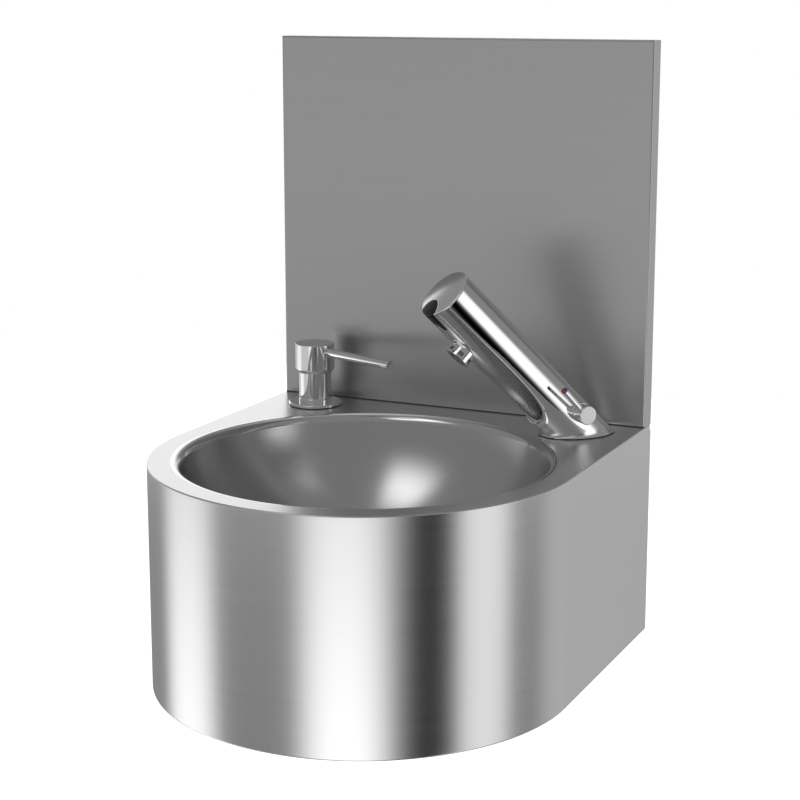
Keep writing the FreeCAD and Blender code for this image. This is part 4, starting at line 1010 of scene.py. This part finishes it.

# The return spring stands between the barrel's floor and the piston, which presses it together as it
# travels; here it is one fixed coil.
spring_low, spring_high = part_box("pump_spring")
spring_wire = 0.0006
spring_length = spring_high[2] - spring_low[2]
spring_foot = pump_place @ Matrix.Translation((0.0, 0.0, spring_low[2] + spring_wire))
return_spring = grown_piece("pump_return_spring", winding, bright_wire, [{
    "Coil Radius": (spring_high[0] - spring_low[0]) / 2.0 - spring_wire, "Ridge Radius": spring_wire,
    "Height": spring_length - 2.0 * spring_wire, "Turns": 9.0, "Sides": 10}],
    place=spring_foot, sharp=60.0)
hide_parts("pump_spring")
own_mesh(return_spring)
thread_on("pump_shank_thread", "pump_collar", radius=shank_radius, start=0.0006, height=0.040,
          pitch=0.0016, ridge=0.0004, finish=chrome)

# ---------------------------------------------------------------------------
# Tap body. A cast and turned brass barrel that leans over the bowl, with a
# shallow U-shaped step worked into its underside, polished and chromed.
# ---------------------------------------------------------------------------
tap_radius = 0.0265
tap_head = 0.2073
tap_rise = 45.0
tap_heading = -128.9
seal_height = 0.0008
step_half = 0.0253
step_foot = 0.0452
step_fade = 0.150
step_lean = math.radians(0.9)
tap_foot = Matrix.Translation((0.1465, -0.0637, 0.0))
tap_place = (tap_foot
             @ Matrix.Rotation(math.radians(tap_heading), 4, "Z")
             @ Matrix.Rotation(math.radians(90.0 - tap_rise), 4, "Y"))


def barrel_point(turn, along, sink=0.0):
    """Point on the barrel; turn 0 is its underside and along runs from the deck to the head."""
    return Vector((tap_radius * math.cos(turn) - sink, tap_radius * math.sin(turn), along))


def step_sink(along):
    """Depth of the step, which fades out towards the head."""
    return max(0.0, step_fade - along) * math.tan(step_lean)


round_centre = step_foot + step_half
rim_soft = 0.0005
quarter = 28
straight_steps = 12
upper_steps = 6
straight_rows = [round_centre + (step_fade - round_centre) * k / straight_steps
                 for k in range(1, straight_steps + 1)]
upper_rows = [step_fade + (tap_head - step_fade) * k / upper_steps for k in range(1, upper_steps)]


def rim_rows(grow):
    """Rows of (height along the barrel, half-angle) along the step's outline, grown outwards."""
    half = step_half + grow
    rows = []
    for k in range(quarter + 1):
        swing = math.pi / 2.0 * k / quarter
        rows.append((round_centre - half * math.cos(swing), math.asin(half * math.sin(swing) / tap_radius)))
    for along in straight_rows:
        rows.append((along, math.asin(half / tap_radius)))
    return rows


across_inside = 40
across_outside = 56
inner_rim = rim_rows(0.0)
outer_rim = rim_rows(rim_soft)
barrel_points = []
barrel_faces = []


def add_point(p):
    barrel_points.append(p)
    return len(barrel_points) - 1


def join_rows(first, second):
    for k in range(len(first) - 1):
        barrel_faces.append((first[k], first[k + 1], second[k + 1], second[k]))


inside_rows = []
outside_rows = []
for (inner_along, inner_turn), (outer_along, outer_turn) in zip(inner_rim, outer_rim):
    sunk = []
    for k in range(across_inside + 1):
        turn = inner_turn * (2.0 * k / across_inside - 1.0)
        sunk.append(add_point(barrel_point(turn, inner_along, step_sink(inner_along))))
    inside_rows.append(sunk)
    plain = []
    for k in range(across_outside + 1):
        turn = outer_turn + (2.0 * math.pi - 2.0 * outer_turn) * k / across_outside
        plain.append(add_point(barrel_point(turn, outer_along)))
    outside_rows.append(plain)
for first, second in zip(inside_rows, inside_rows[1:]):
    join_rows(first, second)
for first, second in zip(outside_rows, outside_rows[1:]):
    join_rows(first, second)

# The step's wall and its soft rim, on both sides of the outline.
wall_levels = 3
rim_share = 0.8
lip_ends = {}
for side in (1, -1):
    chains = []
    for row in range(len(inner_rim)):
        inner_along, inner_turn = inner_rim[row]
        outer_along, outer_turn = outer_rim[row]
        depth = step_sink(inner_along)
        soft = min(rim_soft, depth * rim_share)
        edge_inner = inside_rows[row][-1] if side > 0 else inside_rows[row][0]
        edge_outer = outside_rows[row][0] if side > 0 else outside_rows[row][-1]
        top = barrel_point(side * inner_turn, inner_along, soft)
        out = barrel_points[edge_outer]
        corner = barrel_point(side * inner_turn, inner_along)
        chain = [edge_inner, add_point(top)]
        for step in range(1, wall_levels):
            share = step / wall_levels
            bow = top * (1.0 - share) ** 2 + corner * 2.0 * share * (1.0 - share) + out * share ** 2
            chain.append(add_point(bow))
        chain.append(edge_outer)
        chains.append(chain)
    for first, second in zip(chains, chains[1:]):
        join_rows(first, second)
    lip_ends[side] = chains[-1]

# Above the step the barrel is plain up to the head's seam, and below it the
# barrel runs down to the deck, where it spreads into a small foot.
seam_soft = 0.0003
seam_middle = 0.3
seam_inset = 0.2
seam_depth = 0.004
inner_end = inner_rim[-1][1]
outer_end = outer_rim[-1][1]
lip_turns = [
    inner_end + (outer_end - inner_end) * (step / wall_levels) ** 2 for step in range(1, wall_levels)]
ring_turns = [-outer_end] + [-turn for turn in reversed(lip_turns)]
ring_turns += [inner_end * (2.0 * k / across_inside - 1.0) for k in range(across_inside + 1)]
ring_turns += lip_turns
ring_turns += [
    outer_end + (2.0 * math.pi - 2.0 * outer_end) * k / across_outside for k in range(across_outside)]


def full_ring(along, shrink=0.0):
    """Ring of points round the whole barrel, drawn in by a share of its radius."""
    ring = []
    for turn in ring_turns:
        p = barrel_point(turn, along)
        ring.append(add_point(Vector((p.x * (1.0 - shrink), p.y * (1.0 - shrink), p.z))))
    return ring


def join_rings(first, second):
    join_rows(first + first[:1], second + second[:1])


rings = [lip_ends[-1][:1:-1] + inside_rows[-1] + lip_ends[1][2:-1] + outside_rows[-1][:-1]]
for along in upper_rows:
    rings.append(full_ring(along))
rings.append(full_ring(tap_head - seam_soft))
rings.append(full_ring(tap_head - seam_soft * seam_middle, seam_soft * seam_middle / tap_radius))
rings.append(full_ring(tap_head, seam_soft / tap_radius))
rings.append(full_ring(tap_head, seam_inset))
rings.append(full_ring(tap_head - seam_depth, seam_inset))
for first, second in zip(rings, rings[1:]):
    join_rings(first, second)
barrel_faces.append(tuple(rings[-1]))

foot_start = outer_rim[0][0]
foot_levels = 26
foot_spacing = 0.75
flare_height = 0.007
flare_curve = 2.5
flare_all_round = 0.0012
flare_underside = 0.0016
least_length = 0.0001
foot_rows = []
for level in range(foot_levels + 1):
    row = []
    for k in range(across_outside + 1):
        turn = 2.0 * math.pi * k / across_outside
        lowest = tap_radius * math.cos(turn) + seal_height / math.sin(math.radians(tap_rise))
        share = (level / foot_levels) ** foot_spacing
        along = foot_start + (lowest - foot_start) * share
        p = tap_place @ barrel_point(turn, along)
        if level > 0:
            nearness = max(0.0, 1.0 - (p.z - seal_height) / flare_height)
            swell = nearness ** flare_curve * (
                flare_all_round + flare_underside * (0.5 + 0.5 * math.cos(turn)))
            side_way = tap_place.to_3x3() @ Vector((math.cos(turn), math.sin(turn), 0.0))
            side_way.z = 0.0
            if side_way.length > least_length:
                p = p + side_way.normalized() * swell
        row.append(add_point(tap_place.inverted() @ p))
    foot_rows.append(row)
for first, second in zip(foot_rows, foot_rows[1:]):
    join_rows(first, second)
barrel_faces.append(tuple(foot_rows[-1][:-1]))
barrel = mesh_piece("tap_barrel", [tap_place @ p for p in barrel_points], barrel_faces, sharp=40.0)
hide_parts("tap_body")
barrel.data.materials.append(chrome)

# The shank under the tap passes through the deck, and a boss on the barrel's
# side carries the temperature knob.
stub_foot = -0.012
stub_radius = 0.0165
tap_shank = turned_piece("tap_shank_stub", rounded_profile(
    [(0.0, stub_foot), (stub_radius, stub_foot), (stub_radius, seal_height),
     (0.0, seal_height)], 0.0004),
    place=tap_foot, closed=False)
tap_shank.data.materials.append(chrome)
knob_along = 0.0272
knob_above = 0.0093
boss_start = 0.018
boss_end = 0.0263
boss_radius = 0.0097
knob_lie = tap_place @ Matrix.Translation((-knob_above, 0.0, knob_along)) @ Matrix.Rotation(
    math.radians(-90.0), 4, "X")
knob_boss = turned_piece("tap_knob_boss", rounded_profile(
    [(0.0, boss_start), (boss_radius, boss_start), (boss_radius, boss_end),
     (0.0, boss_end)], 0.0004),
    place=knob_lie, closed=False)
knob_boss.data.materials.append(chrome)

# ---------------------------------------------------------------------------
# Tap head. A slightly domed chromed cap closes the barrel, and a dark window
# of smoked plastic wraps from the cap over its lower edge onto the underside.
# ---------------------------------------------------------------------------
head_cap = merged_copy("tap_cap", "tap_head_cap", "basin", sharp=50.0)
# The cap is satin chrome, and its tone, lighter than the bright chrome's, paints light on it.
head_cap.data.materials.append(chrome_finish("satin_chrome_painted_light", 0.92, 0.2))

smoked, smoked_tree, smoked_shader = new_finish("smoked_window")
smoked_place = tree_node(smoked_tree, "ShaderNodeTexCoord").outputs["Object"]
smoked_cloud = tree_noise(smoked_tree, smoked_place, 130.0, 3.0, 0.5)
smoked_tone = tree_node(smoked_tree, "ShaderNodeVectorMath", operation="SCALE")
smoked_tone.inputs[0].default_value = (0.012, 0.0125, 0.013)
smoked_shader.inputs["Specular IOR Level"].default_value = 0.2
smoked_tree.links.new(tree_math(smoked_tree, "ADD", smoked_cloud, 0.4), smoked_tone.inputs["Scale"])
smoked_tree.links.new(smoked_tone.outputs[0], smoked_shader.inputs["Base Color"])
smoked_tree.links.new(tree_math(
    smoked_tree, "MULTIPLY_ADD", smoked_cloud, 0.08, 0.24), smoked_shader.inputs["Roughness"])

# The window stands a little proud of the chrome round it.
window = merged_copy("sensor_window", "smoked_sensor_window", "basin", sharp=50.0)
window_proud = 0.00015
head_length = 0.012
head_middle = tap_place @ Vector((0.0, 0.0, tap_head - head_length))
for spot in window.data.vertices:
    push = (spot.co - head_middle).normalized()
    spot.co = spot.co + push * window_proud
window.data.materials.append(smoked)
dress_node("sensor_module", black_rubber)

# ---------------------------------------------------------------------------
# Aerator. A short chromed ring with key slots is screwed into the underside,
# round a grey plastic insert pierced with rings of jets.
# ---------------------------------------------------------------------------
grey_plastic = plain_finish("grey_plastic", (0.30, 0.31, 0.33), 0.4, 0.0, 300.0, 0.1, 0.1)
for node, name, finish, kind in (
        ("aerator_housing", "aerator_ring", chrome, "chrome"),
        ("aerator_insert", "aerator_jets", grey_plastic, "valve_plastic"),
        ("aerator_seal", "aerator_washer", black_rubber, "seal_rubber")):
    piece = merged_copy(node, name, "basin")
    piece.data.materials.append(finish)

# A soft grey nozzle stands round each jet of the three rings.
insert_radius = 0.0094
jet_step = insert_radius / 4.0
ring_length = 0.008
insert_sunk = 0.0012
jet_along = 0.154
jet_face = tap_radius + ring_length - insert_sunk
jet_lie = tap_place @ Matrix.Translation((jet_face, 0.0, jet_along)) @ Matrix.Rotation(
    math.radians(90.0), 4, "Y")
nozzle_radius = 0.00092
nozzle_lip = 0.00022
jet_growths = [
    {"Circle Radius": jet_step * ring, "Count": 6 * ring, "Lip Radius": nozzle_radius,
     "Lip Thickness": nozzle_lip} for ring in range(1, 4)]
soft_nozzles = grown_piece("aerator_soft_nozzles", lips, grey_plastic, jet_growths,
                           place=jet_lie, sharp=60.0)

# ---------------------------------------------------------------------------
# Inside the barrel: a brass water tube, the solenoid valve, and the mixing
# cartridge with its nut, all bought in and sealed.
# ---------------------------------------------------------------------------
machined_brass = plain_finish("machined_brass", (0.62, 0.45, 0.20), 0.28, 1.0, 260.0, 0.1, 0.04)
for node, finish in (
        ("water_tube", machined_brass), ("solenoid_valve", black_rubber),
        ("mixing_cartridge", grey_plastic), ("cartridge_nut", machined_brass)):
    dress_node(node, finish)

# ---------------------------------------------------------------------------
# Temperature control. A small chromed knob on the barrel's side carries a thin
# lever, whose end has a red mark for hot and a blue mark for cold.
# ---------------------------------------------------------------------------
knob_face = 0.0386
knob_foot = 0.0266
knob_radius = 0.0092
knob_bevel = 0.0006
knob = turned_piece("temperature_knob_drum", rounded_profile(
    [(0.0, knob_foot), (knob_radius, knob_foot), (knob_radius, knob_face - knob_bevel),
     (knob_radius - knob_bevel, knob_face), (0.0, knob_face)], 0.0003),
    body="temperature_control", place=knob_lie, closed=False, steps=72)
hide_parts("temperature_knob")
lever_radius = 0.003
lever_start = 0.006
lever_end = 0.0375
lever_behind_face = 0.0062
lever_tilt = -9.0
lever_root = Matrix.Translation((-knob_above, knob_face - lever_behind_face, knob_along))
lever_place = tap_place @ lever_root @ Matrix.Rotation(math.radians(lever_tilt), 4, "X")
lever = turned_piece("temperature_lever_rod", rounded_profile(
    [(0.0, lever_start), (lever_radius, lever_start), (lever_radius, lever_end),
     (0.0, lever_end)], 0.0002),
    body="temperature_control", place=lever_place, closed=False, steps=40)
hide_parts("temperature_lever")
for piece in (knob, lever):
    piece.data.materials.append(chrome)

# The knob's flat face is satin, rougher than the drum, and its darker tone paints shade on it.
knob.data.materials.append(chrome_finish("knob_face_satin_painted_shade", 0.64, 0.34))
facing_out = 0.98
knob_outwards = (knob_lie.to_3x3() @ Vector((0.0, 0.0, 1.0))).normalized()
for face in knob.data.polygons:
    if face.normal.dot(knob_outwards) > facing_out:
        face.material_index = 1
hot_enamel = plain_finish("hot_red", (0.62, 0.02, 0.02), 0.25, 0.0, 400.0, 0.1, 0.02, 0.5)
cold_enamel = plain_finish("cold_blue", (0.03, 0.10, 0.42), 0.25, 0.0, 400.0, 0.1, 0.02, 0.5)
for node, name, finish, kind in (
        ("hot_mark", "lever_red_end", hot_enamel, "hot_red"),
        ("cold_mark", "lever_blue_end", cold_enamel, "cold_blue"),
        ("cartridge_spindle", "knob_spindle", machined_brass, "brass"),
        ("knob_grub_screw", "knob_locking_screw", mill_steel, "plain_steel")):
    piece = merged_copy(node, name, "temperature_control")
    piece.data.materials.append(finish)

# ---------------------------------------------------------------------------
# Tap fixings under the deck. A rubber seal, a clamp plate on its gasket, one
# stud with its nut, and two brass tails for the hot and the cold water.
# ---------------------------------------------------------------------------
for node, name, finish, kind in (
        ("tap_base_seal", "tap_foot_seal", black_rubber, "seal_rubber"),
        ("tap_clamp_gasket", "tap_under_gasket", black_rubber, "seal_rubber"),
        ("tap_clamp_plate", "tap_under_plate", mill_steel, "plain_steel"),
        ("tap_stud", "tap_fixing_stud", mill_steel, "plain_steel"),
        ("tap_nut", "tap_fixing_nut", mill_steel, "plain_steel"),
        ("hot_supply_tail", "hot_water_tail", machined_brass, "brass"),
        ("cold_supply_tail", "cold_water_tail", machined_brass, "brass")):
    piece = merged_copy(node, name, "basin")
    piece.data.materials.append(finish)

thread_on("stud_thread", "tap_stud", radius=0.003, start=0.0006, height=0.050,
          pitch=0.001, ridge=0.00025, finish=mill_steel)
for name, node in (("hot_tail_thread", "hot_supply_tail"), ("cold_tail_thread", "cold_supply_tail")):
    thread_on(name, node, radius=0.006, start=0.0006, height=0.015,
              pitch=0.00134, ridge=0.00035, finish=machined_brass)
